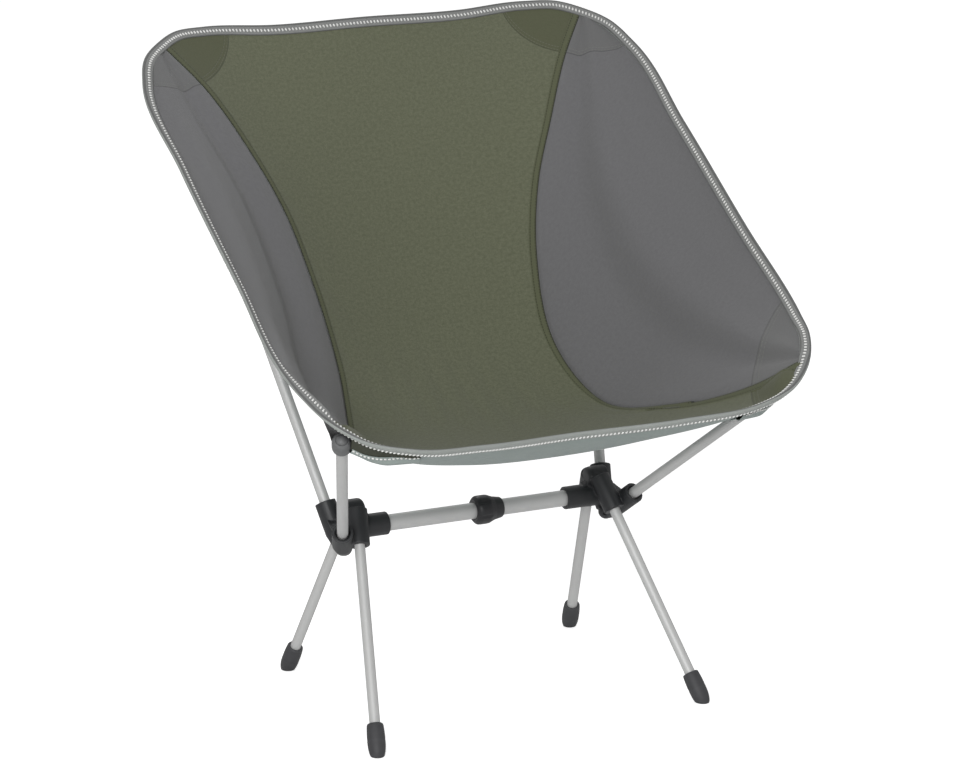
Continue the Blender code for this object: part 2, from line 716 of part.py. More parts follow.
def group_pieces():
    left_pieces = ["hub_left", "crossbar_tube_left", "seat_panel_left", "binding_left"]
    bar_pieces = ["crossbar_tube_right", "crossbar_ferrule", "crossbar_collar", "cord_crossbar"]
    seat_pieces = ["seat_panel_middle", "seat_panel_right", "binding_right", "binding_back"]
    left = add_group("left_side_group", on_bar(0.0), left_pieces)
    right_pieces = ["hub_right", "binding_front", *bar_pieces, *seat_pieces]
    right = add_group("frame_group", on_bar(0.0), right_pieces)
    for side_name, side in SIDES.items():
        hub_group = left if side_name == "left" else right
        for place in LEG_END:
            names = [f"{piece}_{place}_{side_name}" for piece in ("leg", "foot", "cord_leg")]
            add_group(f"leg_{place}_{side_name}_group", mirror_x(LEG_MEET, side), names, hub_group)
        for corner, place in CORNER_POLE.items():
            tip = mirror_x(POLE_TIP[place], side)
            upper = [f"tip_{place}_{side_name}"]
            if place == "front":
                upper += [f"pole_front_{side_name}", f"cord_pole_front_{side_name}"]
                meet = mirror_x(POLE_MEET, side)
                pole = add_group(f"pole_front_{side_name}_group", meet, upper, hub_group)
            else:
                lower = ["pole_rear_lower", "ferrule_rear", "cord_pole_rear"]
                lower = [f"{piece}_{side_name}" for piece in lower]
                meet = mirror_x(POLE_MEET, side)
                lower_group = add_group(f"pole_rear_{side_name}_group", meet, lower, hub_group)
                upper += [f"pole_rear_upper_{side_name}"]
                pole = add_group(f"pole_rear_upper_{side_name}_group", tip, upper, lower_group)
            add_group(f"pocket_{corner}_{side_name}_group", tip, [f"pocket_{corner}_{side_name}"], pole)


# ---- Assembly -----------------------------------------------------------------------------

clear_scene()
parts = new_collection("camp_chair")
cutters = new_collection("cutters", hidden=True)
materials = {
    "hub_plastic": make_material("hub_plastic", (0.032, 0.032, 0.034), 0.45),
    "collar_plastic": make_material("collar_plastic", (0.024, 0.024, 0.026), 0.40),
    "tip_plastic": make_material("tip_plastic", (0.05, 0.05, 0.052), 0.45),
    "foot_rubber": make_material("foot_rubber", (0.07, 0.07, 0.072), 0.65),
    "tube_alloy": make_material("tube_alloy", (0.60, 0.60, 0.60), 0.38, 0.9),
    "ferrule_alloy": make_material("ferrule_alloy", (0.66, 0.66, 0.67), 0.30, 1.0),
    "shock_cord": make_material("shock_cord", (0.04, 0.04, 0.045), 0.80),
    "sling_fabric": make_material("sling_fabric", (0.12, 0.13, 0.08), 0.85),
    "side_fabric": make_material("side_fabric", (0.13, 0.13, 0.135), 0.80),
    "pocket_fabric": make_material("pocket_fabric", (0.10, 0.105, 0.075), 0.85),
    "binding_tape": make_material("binding_tape", (0.26, 0.26, 0.265), 0.75),
}
curves = seat_curves()
corner_blocks = {(corner, name): corner_cutter(corner, name) for corner in PATCH_CUT for name in SIDES}
build_hub()
build_crossbar()
for side_name in SIDES:
    for place in LEG_END:
        build_leg(place, side_name)
        build_pole(place, side_name)
    build_side_panel(side_name, corner_blocks)
    for corner in PATCH_CUT:
        build_pocket(corner, side_name)
build_middle_panel(corner_blocks)
build_bindings(corner_blocks)
group_pieces()
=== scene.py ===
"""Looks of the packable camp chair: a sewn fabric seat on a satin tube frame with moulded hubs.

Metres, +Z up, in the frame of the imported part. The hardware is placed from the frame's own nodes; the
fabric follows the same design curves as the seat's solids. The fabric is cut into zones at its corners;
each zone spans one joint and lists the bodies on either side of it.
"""

import json
import math

import bmesh
import bpy
import numpy as np
from mathutils import Matrix, Vector
from mathutils.kdtree import KDTree

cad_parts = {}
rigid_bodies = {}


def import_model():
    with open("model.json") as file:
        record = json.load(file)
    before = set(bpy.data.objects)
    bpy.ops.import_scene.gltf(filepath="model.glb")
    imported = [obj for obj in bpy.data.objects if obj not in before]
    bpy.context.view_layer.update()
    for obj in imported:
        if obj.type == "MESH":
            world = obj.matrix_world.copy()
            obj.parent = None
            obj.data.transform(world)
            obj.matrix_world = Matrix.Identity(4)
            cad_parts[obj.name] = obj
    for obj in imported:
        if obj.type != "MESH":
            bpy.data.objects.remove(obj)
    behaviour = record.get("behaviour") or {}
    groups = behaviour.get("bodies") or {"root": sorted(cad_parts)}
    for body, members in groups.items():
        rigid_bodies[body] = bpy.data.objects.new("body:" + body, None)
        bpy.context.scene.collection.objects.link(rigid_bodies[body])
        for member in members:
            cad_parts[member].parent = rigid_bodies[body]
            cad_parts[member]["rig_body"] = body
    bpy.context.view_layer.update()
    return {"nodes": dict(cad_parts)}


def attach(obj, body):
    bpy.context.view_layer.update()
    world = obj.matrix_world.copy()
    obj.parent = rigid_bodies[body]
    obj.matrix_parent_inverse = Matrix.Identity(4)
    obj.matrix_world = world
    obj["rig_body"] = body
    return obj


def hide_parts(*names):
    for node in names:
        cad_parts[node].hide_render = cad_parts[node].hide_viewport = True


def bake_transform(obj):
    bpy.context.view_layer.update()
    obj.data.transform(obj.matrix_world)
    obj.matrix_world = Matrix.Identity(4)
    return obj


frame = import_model()

# ---- Seat design curves, right half ----

SIDES = {"left": -1.0, "right": 1.0}
FLIP = np.array([-1.0, 1.0, 1.0])
TURNS = {"left": FLIP, "right": np.ones(3)}

# Outline from the middle of the top edge to the middle of the front edge.
TOP_EDGE = [(0.0, 0.275, 0.673), (0.108, 0.275, 0.672), (0.189, 0.275, 0.676), (0.226, 0.265, 0.675)]
BACK_MEET = (0.250, 0.249, 0.668)
SIDE_EDGE = [
    (0.272, 0.229, 0.657), (0.287, 0.196, 0.636), (0.290, 0.081, 0.567), (0.288, -0.065, 0.481),
    (0.287, -0.183, 0.414), (0.281, -0.214, 0.399),
]
FRONT_MEET = (0.266, -0.241, 0.380)
FRONT_EDGE = [
    (0.238, -0.263, 0.362), (0.190, -0.277, 0.3505), (0.111, -0.267, 0.3425), (0.0, -0.248, 0.337),
]
# Seam between the middle panel and the side panel, from BACK_MEET to FRONT_MEET.
SEAM = [
    (0.211, 0.214, 0.620), (0.178, 0.180, 0.560), (0.151, 0.154, 0.500), (0.132, 0.118, 0.422),
    (0.127, 0.063, 0.341), (0.146, -0.010, 0.294), (0.179, -0.108, 0.310), (0.217, -0.184, 0.342),
    (0.244, -0.224, 0.366),
]
# Profile of the seat along its middle.
PROFILE = [
    (0.0, 0.275, 0.673), (0.0, 0.239, 0.595), (0.0, 0.201, 0.515), (0.0, 0.158, 0.425),
    (0.0, 0.098, 0.340), (0.0, 0.023, 0.291), (0.0, -0.067, 0.274), (0.0, -0.157, 0.292),
    (0.0, -0.248, 0.337),
]
EDGE_FADE = 8

# Corner patches: where they end on the outline, and how far their inner edge bulges into the seat.
PATCH_CUT = {
    "back": (Vector((0.163, 0.275, 0.673)), Vector((0.286, 0.201, 0.639))),
    "front": (Vector((0.200, -0.276, 0.348)), Vector((0.287, -0.157, 0.428))),
}
PATCH_BULGE = {"back": 0.034, "front": 0.022}
# Distances inside a corner's cut plane at which the fabric passes from one body to the next.
ZONE_STEPS = {"back": (-0.072, -0.048, -0.024, 0.0), "front": (-0.090, -0.045, 0.0)}
MIDDLE_STRETCH = 0.028  # half width of the strip of fabric that stretches when the crossbar is pulled

CLOTH = 0.0012
SEAM_RISE = 0.0008
TAPE_WIDTH = 0.0108
TAPE_RISE = 0.0016
STITCH_PITCH = 0.0040
STITCH_RADIUS = 0.0010
RIM_STITCH = 0.0034  # lengths of the stitches on the rim and on the pockets
POCKET_STITCH = 0.0026
STITCH_PLACE = 0.0058  # how far from the rim's edge its stitches lie
# The cloth dips behind the front rim: how much, how far in, and the share of each side edge, from the
# back, over which the dip sets in.
RIM_DIP = 0.0080
RIM_DIP_REACH = 0.045
RIM_DIP_START = (0.97, 1.12)
# Round the front corners the cloth swells instead: how much, how far in, where along the outline from
# FRONT_MEET (metres), and over what length.
CORNER_SWELL = 0.0060
CORNER_SWELL_REACH = 0.016
CORNER_SWELL_PLACE = (-0.030, 0.055)
# The front pocket: a moulded end cap on the pole, and a wall under the front edge from its stitched lip
# down to a fold and back under the cloth (right-hand points).
CAP_RADIUS = 0.0100
CAP_LENGTH = 0.0180
WEBBING_END = 0.245
POCKET_LIP = [
    (0.2360, -0.232, 0.3463), (0.2275, -0.240, 0.3415), (0.2180, -0.247, 0.3398),
    (0.2060, -0.254, 0.3400), (0.1925, -0.262, 0.3430), (0.1800, -0.268, 0.3437),
]
POCKET_FOLD = [
    (0.2365, -0.229, 0.3420), (0.2285, -0.233, 0.3375), (0.2185, -0.239, 0.3325),
    (0.2080, -0.246, 0.3302), (0.1945, -0.252, 0.3308), (0.1760, -0.258, 0.3315),
]
POCKET_DEPTH = 0.018
# The cloth drapes over the front poles: its room above the cap and the poles, what it needs more above the
# poles, the length of pole it covers, and how tightly it bends.
CLOTH_ROOM = 0.0014
POLE_ROOM = 0.0011
POLE_DRAPE = 0.200
DRAPE_RADIUS = 0.020
TIP_LENGTH = 0.010  # how far a pole's plastic tip stands out of its tube
# Heights of the folds in the side panels, of the drag lines by the seams, and of the lower back's ripple.
SIDE_FOLD = 0.0068
DRAG_FOLD = 0.0007
LUMBAR_FOLD = 0.0006


def smooth_path(points, samples=1200, mirror_ends=False):
    """Evenly spaced samples of a smooth curve through the points."""
    knots = np.array(points, float)
    if mirror_ends:
        knots = np.vstack([knots[1] * FLIP, knots, knots[-2] * FLIP])
    spans = np.linalg.norm(np.diff(knots, axis=0), axis=1)
    slopes = np.diff(knots, axis=0) / spans[:, None]
    before, after = spans[:-1, None], spans[1:, None]
    inner = (slopes[:-1] * after + slopes[1:] * before) / (after + before)
    tangents = np.vstack([slopes[0], inner, slopes[-1]])
    first, last = (1, len(knots) - 2) if mirror_ends else (0, len(knots) - 1)
    pieces = []
    for i in range(first, last):
        s = np.linspace(0.0, 1.0, 60)[:, None]
        pull_a, pull_b = tangents[i] * spans[i], tangents[i + 1] * spans[i]
        pieces.append(
            (2 * s**3 - 3 * s**2 + 1) * knots[i]
            + (s**3 - 2 * s**2 + s) * pull_a
            + (3 * s**2 - 2 * s**3) * knots[i + 1]
            + (s**3 - s**2) * pull_b
        )
    curve = np.vstack(pieces)
    length = lengths_along(curve)
    keep = np.concatenate([[True], np.diff(length) > 0.0])
    even = np.linspace(0.0, length[-1], samples)
    return sampled(even, length[keep], curve[keep])


def sampled(places, at, points):
    """The points that stand at the given lengths, read at other places in between."""
    return np.stack([np.interp(places, at, points[:, k]) for k in range(3)], axis=-1)


def along(path, t):
    """Points at fractions t of an evenly sampled path, for t of any shape."""
    return sampled(np.clip(t, 0.0, 1.0) * (len(path) - 1), np.arange(len(path)), path)


def at_width(edge, x):
    """Points of an end edge at distances x from the middle plane."""
    order = np.argsort(edge[:, 0])
    point = sampled(np.abs(x), edge[order, 0], edge[order])
    point[..., 0] = x
    return point


def nearest(path, point):
    return int(np.argmin(np.linalg.norm(path - np.array(point), axis=1)))


def lengths_along(path):
    """How far along the path each of its points lies."""
    return np.concatenate([[0.0], np.cumsum(np.linalg.norm(np.diff(path, axis=0), axis=1))])


def path_length(path):
    return float(np.linalg.norm(np.diff(path, axis=0), axis=1).sum())


def unit(vectors):
    return vectors / np.maximum(np.linalg.norm(vectors, axis=-1, keepdims=True), 1e-12)


def seat_curves():
    corners = [*TOP_EDGE, BACK_MEET, *SIDE_EDGE, FRONT_MEET, *FRONT_EDGE]
    outline = smooth_path(corners, 2400, mirror_ends=True)
    back, front = nearest(outline, BACK_MEET), nearest(outline, FRONT_MEET)
    return {
        "outline": outline,
        "back_index": back,
        "front_index": front,
        "top": outline[: back + 1],
        "side": smooth_path(outline[back : front + 1 : 12]),
        "front": outline[front:],
        "seam": smooth_path([BACK_MEET, *SEAM, FRONT_MEET]),
        "middle": smooth_path(PROFILE),
    }


curves = seat_curves()


def middle_row(share, u):
    seam, middle = along(curves["seam"], share), along(curves["middle"], share)
    square = (u * u)[..., None]
    point = middle * (1.0 - square) + seam * square
    point[..., 0] = u * seam[..., 0]
    return point


def middle_surface(u, t):
    """Points of the middle panel: u from -1 to 1 across, t from 0 at the top to 1 at the front."""
    point = middle_row(t, u)
    for edge, end, weight in (("top", 0.0, (1.0 - t) ** EDGE_FADE), ("front", 1.0, t**EDGE_FADE)):
        row = middle_row(np.full_like(u, end), u)
        point = point + (at_width(curves[edge], row[..., 0]) - row) * weight[..., None]
    return point


def side_surface(w, t):
    """Points of the right side panel: w from 0 at the seam to 1 at the outline."""
    return along(curves["seam"], t) * (1.0 - w[..., None]) + along(curves["side"], t) * w[..., None]


def node_points(name):
    return np.array([vertex.co for vertex in frame["nodes"][name].data.vertices])


def node_line(name):
    """(start, end, radius) of a long round node: the two ends of its axis and its outer radius."""
    points = node_points(name)
    centre = points.mean(0)
    axis = np.linalg.svd(points - centre)[2][0]
    offset = points - centre
    place = offset @ axis
    radius = np.linalg.norm(offset - place[:, None] * axis, axis=1).max()
    return centre + axis * place.min(), centre + axis * place.max(), radius


def upward(axis):
    """The unit vector across an axis that points up the most."""
    return unit(np.array([0.0, 0.0, 1.0]) - axis * axis[2])


def pole_axis(place, hand):
    """(lower end, upper end, direction up the pole, radius) of the pole section under a corner."""
    node = f"pole_front_{hand}" if place == "front" else f"pole_rear_upper_{hand}"
    low, high, radius = node_line(node)
    if low[2] > high[2]:
        low, high = high, low
    return low, high, unit(high - low), radius


def smoothstep(value, start, end):
    share = np.clip((value - start) / (end - start), 0.0, 1.0)
    return share * share * (3.0 - 2.0 * share)


def tree_of(points):
    tree = KDTree(len(points))
    for index, point in enumerate(points):
        tree.insert(point, index)
    tree.balance()
    return tree


rim_tree = tree_of(curves["outline"])


def dipped(points):
    """The points with the dip of the cloth behind the front rim and its swell at the front corners."""
    back, front = curves["back_index"], curves["front_index"]
    flat = points.reshape(-1, 3)
    found = [rim_tree.find((abs(x), y, z)) for x, y, z in flat]
    index = np.array([item[1] for item in found])
    distance = np.array([item[2] for item in found])
    amount = smoothstep((index - back) / (front - back), *RIM_DIP_START)
    depth, near = distance / RIM_DIP_REACH, distance / CORNER_SWELL_REACH
    spacing = path_length(curves["outline"]) / (len(curves["outline"]) - 1)
    centre, spread = CORNER_SWELL_PLACE
    corner = np.exp(-((((index - front) * spacing - centre) / spread) ** 2))
    shaped = flat.copy()
    shaped[:, 2] -= RIM_DIP * amount * depth * np.exp(1.0 - depth)
    shaped[:, 2] += CORNER_SWELL * corner * near * np.exp(1.0 - near)
    return shaped.reshape(points.shape)


def cleared(points):
    """Right-hand points raised clear of the front pole and its end cap, as cloth drapes over a rod."""
    points = points.copy()
    _, high, axis, radius = pole_axis("front", "right")
    up, tip = upward(axis), high + axis * TIP_LENGTH
    for size, length in ((radius + POLE_ROOM, POLE_DRAPE), (CAP_RADIUS, CAP_LENGTH)):
        room = size + CLOTH / 2 + CLOTH_ROOM
        offset = points - tip
        place = offset @ axis
        radial = offset - place[..., None] * axis
        height = radial @ up
        wide = np.linalg.norm(radial - height[..., None] * up, axis=-1)
        beyond = np.maximum(place - 0.004, 0.0) + np.maximum(-length - place, 0.0)
        need = room - (wide**2 + beyond**2 * 1.5) / (2.0 * DRAPE_RADIUS)
        points[..., 2] += np.clip(need - height, 0.0, None) / up[2]
    return points


def lifted_both(points):
    """Points on both sides of the seat, lifted clear of the poles' ends."""
    side = np.where(points[..., :1] < 0.0, FLIP, 1.0)
    return cleared(points * side) * side


# ---- Materials ----

class MaterialTree:
    """A material's node tree, with short calls to add and join nodes."""

    def __init__(self, name):
        self.material = bpy.data.materials.new(name)
        self.material.use_nodes = True
        self.tree = self.material.node_tree
        self.surface = self.tree.nodes["Principled BSDF"]

    def add(self, kind, inputs=(), **settings):
        node = self.tree.nodes.new(f"ShaderNode{kind}")
        for key, value in settings.items():
            setattr(node, key, value)
        for slot, value in dict(inputs).items():
            self.feed(node.inputs[slot], value)
        return node

    def feed(self, socket, value):
        if isinstance(value, bpy.types.NodeSocket):
            self.tree.links.new(value, socket)
        elif isinstance(value, bpy.types.Node):
            self.tree.links.new(value.outputs[0], socket)
        else:
            socket.default_value = (*value, 1.0) if socket.type == "RGBA" else value

    def finished(self, base, roughness, bump=None, specular=0.5, **inputs):
        """The material, with its surface's inputs set; bump is (height, distance, strength)."""
        inputs.update(Base_Color=base, Roughness=roughness, Specular_IOR_Level=specular)
        if bump:
            height, distance, strength = bump
            settings = {"Height": height, "Distance": distance, "Strength": strength}
            inputs["Normal"] = self.add("Bump", settings).outputs["Normal"]
        for name, value in inputs.items():
            self.feed(self.surface.inputs[name.replace("_", " ")], value)
        return self.material

    def math(self, operation, a, b=0.0):
        return self.add("Math", {0: a, 1: b}, operation=operation)

    def times(self, a, b):
        return self.math("MULTIPLY", a, b)

    def plus(self, a, weight, b):
        """a times its weight, plus b."""
        return self.add("Math", {0: a, 1: weight, 2: b}, operation="MULTIPLY_ADD")

    def mix(self, factor, a, b):
        node = self.add("Mix", data_type="RGBA")
        for key, value in (("Factor", factor), ("A", a), ("B", b)):
            self.feed(node.inputs[key], value)
        return node.outputs["Result"]

    def ramp(self, value, low, high, start=0.0, end=1.0):
        inputs = {"Value": value, "From Min": low, "From Max": high, "To Min": start, "To Max": end}
        return self.add("MapRange", inputs, interpolation_type="SMOOTHSTEP")

    def noise(self, vector, scale, detail=3.0, roughness=0.5):
        inputs = {"Vector": vector, "Scale": scale, "Detail": detail, "Roughness": roughness}
        return self.add("TexNoise", inputs).outputs["Fac"]

    def attribute(self, name):
        return self.add("Attribute", attribute_name=name).outputs["Fac"]

    def place(self):
        """Where a point lies in the object."""
        return self.add("TexCoord").outputs["Object"]

    def weave_place(self):
        """The fabric's own map, and its crosswise and lengthwise parts."""
        place = self.add("UVMap", uv_map="weave").outputs["UV"]
        split = self.add("SeparateXYZ", {"Vector": place}).outputs
        return place, split["X"], split["Y"]


def scaled(tone, factor):
    return tuple(c * factor for c in tone)


def thread_wave(mat, coordinate, pitch):
    """0 to 1 across each thread of a weave."""
    return mat.math("ABSOLUTE", mat.math("SINE", mat.times(coordinate, math.pi / pitch)))


def weave(mat, pitch):
    """(map place, height) of a plain weave in the fabric's own lengthwise and crosswise directions."""
    place, across, down = mat.weave_place()
    return place, mat.times(thread_wave(mat, across, pitch), thread_wave(mat, down, pitch))


def line_mask(mat, value, centre, half):
    """1 on a thin line where value is near centre."""
    away = mat.math("ABSOLUTE", mat.math("SUBTRACT", value, centre))
    return mat.ramp(away, half, half * 0.5)


def stitch_rows(mat, distance, places, along, pitch):
    """1 on dashed rows of stitches at the given places of a distance."""
    phase = mat.math("FRACT", mat.math("DIVIDE", along, pitch))
    rows = [line_mask(mat, distance, place, 0.0006) for place in places]
    return mat.times(mat.math("MAXIMUM", *rows), mat.ramp(phase, 0.68, 0.56))


def fabric(name, light, dark, pitch, heather, sheen, patch_tone):
    """Woven cloth: heathered colour, a fine weave, and the sewn edge of the corner patches."""
    mat = MaterialTree(name)
    place, threads = weave(mat, pitch)
    stretched = mat.add("VectorMath", {0: place, 1: (0.8, 1.0, 1.0)}, operation="MULTIPLY")
    fine = mat.noise(place, 620.0, 2.0, 0.6)
    broad = mat.noise(stretched, 300.0, 3.0, 0.6)
    wide = mat.noise(place, 9.0, 2.0)
    tone = mat.ramp(mat.plus(fine, 0.45, mat.times(broad, 0.55)), 0.50 - heather, 0.50 + heather)
    base = mat.mix(mat.plus(wide, 0.12, mat.times(tone, 0.88)), dark, light)
    base = mat.mix(mat.ramp(threads, 0.0, 0.5, 0.86, 1.0), scaled(dark, 0.6), base)
    beyond = mat.attribute("patch")
    inside = mat.ramp(beyond, -0.0004, 0.0004)
    patch = mat.mix(fine, scaled(patch_tone, 0.88), scaled(patch_tone, 1.12))
    base = mat.mix(mat.times(inside, 0.85), base, patch)
    sewn = stitch_rows(mat, beyond, (0.0018, 0.0056), mat.attribute("patch_along"), 0.0034)
    edge = line_mask(mat, beyond, -0.0003, 0.0008)
    base = mat.mix(mat.times(edge, 0.40), base, (0.018, 0.019, 0.013))
    base = mat.mix(mat.times(sewn, 0.30), base, (0.20, 0.21, 0.17))
    height = mat.plus(inside, 0.45, mat.plus(threads, 0.16, mat.times(fine, 0.10)))
    height = mat.plus(sewn, -0.40, height)
    return mat.finished(base, 0.86, (height, 0.0008, 0.8), 0.25, Sheen_Weight=sheen, Sheen_Roughness=0.6)


def seam_fabric(name):
    """The felled strip over a seam, with a stitch row along each of its edges."""
    mat = MaterialTree(name)
    place, threads = weave(mat, 0.0011)
    fine = mat.noise(place, 620.0, 2.0, 0.6)
    away = mat.attribute("seam")
    sewn = stitch_rows(mat, away, (0.0014, 0.0066), mat.weave_place()[2], 0.0032)
    base = mat.mix(fine, (0.084, 0.091, 0.052), (0.116, 0.125, 0.074))
    base = mat.mix(mat.times(sewn, 0.75), base, (0.030, 0.033, 0.018))
    edge = line_mask(mat, away, 0.0, 0.0009)
    base = mat.mix(mat.times(edge, 0.9), base, (0.012, 0.013, 0.010))
    height = mat.plus(sewn, -0.6, mat.times(threads, 0.15))
    return mat.finished(base, 0.85, (height, 0.0008, 0.8), 0.25, Sheen_Weight=0.1)


def coated_fabric(name, tone, roughness=0.55):
    """The seat's underside: a close weave under a thin coating."""
    mat = MaterialTree(name)
    place, threads = weave(mat, 0.0009)
    base = mat.mix(mat.noise(place, 30.0, 3.0), scaled(tone, 0.88), tone)
    return mat.finished(base, roughness, (mat.times(threads, 0.10), 0.0006, 0.7), 0.35)


def tape_fabric(name, low, high):
    """Ribbed edge tape, with painted shade along its inner edge and its outer fold: its map runs along the
    tape lengthwise and over its section crosswise.
    """
    mat = MaterialTree(name)
    place, over, down = mat.weave_place()
    ribs, across = thread_wave(mat, down, 0.0011), thread_wave(mat, over, 0.0012)
    base = mat.mix(mat.plus(ribs, 0.5, mat.times(mat.noise(place, 700.0, 2.0), 0.5)), low, high)
    # Painted shade: the tape is darkened at its inner edge, where it meets the cloth, and along its outer
    # fold, where it turns away from the light.
    outer = line_mask(mat, over, TAPE_WIDTH + 0.0010, 0.0018)
    rim = mat.math("MAXIMUM", mat.ramp(over, 0.0026, 0.0012), outer)
    base = mat.mix(mat.times(rim, 0.6), base, scaled(low, 0.35))
    height = mat.plus(ribs, 0.35, mat.times(across, 0.15))
    return mat.finished(base, 0.72, (height, 0.0006, 0.8), 0.3, Sheen_Weight=0.15)


def thread(name, tone):
    mat = MaterialTree(name)
    twist = mat.noise(mat.place(), 2600.0, 1.0)
    return mat.finished(mat.mix(twist, scaled(tone, 0.75), tone), 0.6, (twist, 0.0002, 0.5))


def satin_metal(name, tone, roughness, metallic):
    """Satin anodised tube: a fine random grain, cloudy tone and small rubs."""
    mat = MaterialTree(name)
    place = mat.place()
    grain = mat.noise(place, 1800.0, 2.0)
    rubs = mat.ramp(mat.noise(place, 160.0, 4.0, 0.7), 0.62, 0.74)
    base = mat.mix(mat.noise(place, 22.0, 3.0), scaled(tone, 0.93), tone)
    base = mat.mix(mat.times(rubs, 0.18), base, scaled(tone, 1.25))
    rough = mat.plus(rubs, -0.06, mat.plus(grain, 0.10, roughness - 0.05))
    return mat.finished(base, rough, (grain, 0.00008, 0.5), Metallic=metallic)


def moulded_plastic(name, tone, roughness, grain_depth):
    """Moulded nylon or rubber: a fine spark-eroded grain and slightly worn high spots."""
    mat = MaterialTree(name)
    place = mat.place()
    cloud = mat.noise(place, 60.0, 3.0)
    worn = mat.ramp(mat.add("NewGeometry").outputs["Pointiness"], 0.52, 0.60)
    base = mat.mix(cloud, scaled(tone, 0.82), tone)
    base = mat.mix(mat.times(worn, 0.30), base, scaled(tone, 1.9))
    rough = mat.plus(cloud, 0.12, roughness - 0.06)
    return mat.finished(base, rough, (mat.noise(place, 1500.0, 3.0, 0.6), grain_depth, 0.6), 0.45)


def make_materials():
    olive, grey, patch = (0.150, 0.160, 0.104), (0.160, 0.160, 0.165), (0.084, 0.090, 0.050)
    dark_olive, dark_grey, grey_patch = (0.102, 0.110, 0.068), (0.134, 0.134, 0.138), (0.137, 0.138, 0.138)
    return {
        "sling": fabric("sling_cloth", olive, dark_olive, 0.0011, 0.18, 0.12, patch),
        "side": fabric("side_cloth", grey, dark_grey, 0.0009, 0.20, 0.22, grey_patch),
        "seam": seam_fabric("seam_cloth"),
        "underside": coated_fabric("coated_cloth", (0.290, 0.335, 0.320)),
        "pouch": coated_fabric("pouch_cloth", (0.030, 0.032, 0.026), 0.7),
        # Painted shade: the lining is the cloth's olive darkened, to stand for the shade inside the front
        # pocket.
        "lining": coated_fabric("lining_cloth", (0.050, 0.054, 0.036), 0.8),
        "webbing": tape_fabric("corner_webbing", (0.006, 0.006, 0.007), (0.016, 0.016, 0.017)),
        "tape": tape_fabric("edge_tape", (0.170, 0.174, 0.172), (0.270, 0.275, 0.268)),
        # Painted light: a lighter copy of the edge tape, for the tape's underside.
        "tape_back": tape_fabric("edge_tape_painted_light", (0.240, 0.256, 0.242), (0.340, 0.360, 0.342)),
        "thread": thread("stitch_thread", (0.88, 0.88, 0.86)),
        "cup": moulded_plastic("pocket_cup", (0.135, 0.138, 0.140), 0.55, 0.0001),
        "tube": satin_metal("satin_tube", (0.58, 0.58, 0.575), 0.58, 0.35),
        "ferrule": satin_metal("drawn_ferrule", (0.60, 0.60, 0.61), 0.32, 0.85),
        "hub": moulded_plastic("hub_nylon", (0.023, 0.024, 0.026), 0.48, 0.00012),
        "collar": moulded_plastic("collar_nylon", (0.020, 0.020, 0.022), 0.40, 0.00010),
        "tip": moulded_plastic("tip_nylon", (0.050, 0.050, 0.052), 0.5, 0.0001),
        "foot": moulded_plastic("foot_rubber_skin", (0.052, 0.052, 0.056), 0.60, 0.00015),
        "cord": thread("cord_braid", (0.05, 0.05, 0.055)),
    }


materials = make_materials()


# ---- Mesh helpers ----

ROUND_SIDES = 48
SOLE_HEIGHT = 0.00005


def new_object(data, *slots):
    """An object in the scene with its data's name."""
    obj = bpy.data.objects.new(data.name, data)
    bpy.context.scene.collection.objects.link(obj)
    for slot in slots:
        data.materials.append(materials[slot])
    return obj


def carried(obj, body, stands_for=None):
    """Attaches a piece to the body that it rides on, and hides the node that it stands for."""
    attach(obj, body)
    if stands_for:
        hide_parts(stands_for)


def grid_faces(rows, columns, start=0, turn=False):
    """Quads of a grid of points, row after row."""
    corner = np.arange(rows - 1)[:, None] * columns + np.arange(columns - 1)[None, :] + start
    quads = np.stack([corner, corner + 1, corner + columns + 1, corner + columns], axis=-1).reshape(-1, 4)
    return quads[:, ::-1] if turn else quads


def build_mesh(name, points, faces, attributes=None, uv=None, face_slots=None):
    mesh = bpy.data.meshes.new(name)
    mesh.from_pydata(points.tolist(), [], faces if isinstance(faces, list) else faces.tolist())
    for key, values in (attributes or {}).items():
        layer = mesh.attributes.new(key, "FLOAT", "POINT")
        layer.data.foreach_set("value", np.asarray(values, np.float32).ravel())
    if uv is not None:
        layer = mesh.uv_layers.new(name="weave")
        corners = np.zeros(len(mesh.loops), np.int32)
        mesh.loops.foreach_get("vertex_index", corners)
        layer.data.foreach_set("uv", uv[corners].astype(np.float32).ravel())
    if face_slots is not None:
        mesh.polygons.foreach_set("material_index", np.asarray(face_slots, np.int32))
    mesh.shade_smooth()
    mesh.update()
    return mesh


def grid_normals(points):
    """Unit normals of a grid of points, towards the sitter's side for rows that run down the seat."""
    across = np.gradient(points, axis=1)
    down = np.gradient(points, axis=0)
    return unit(np.cross(down, across))


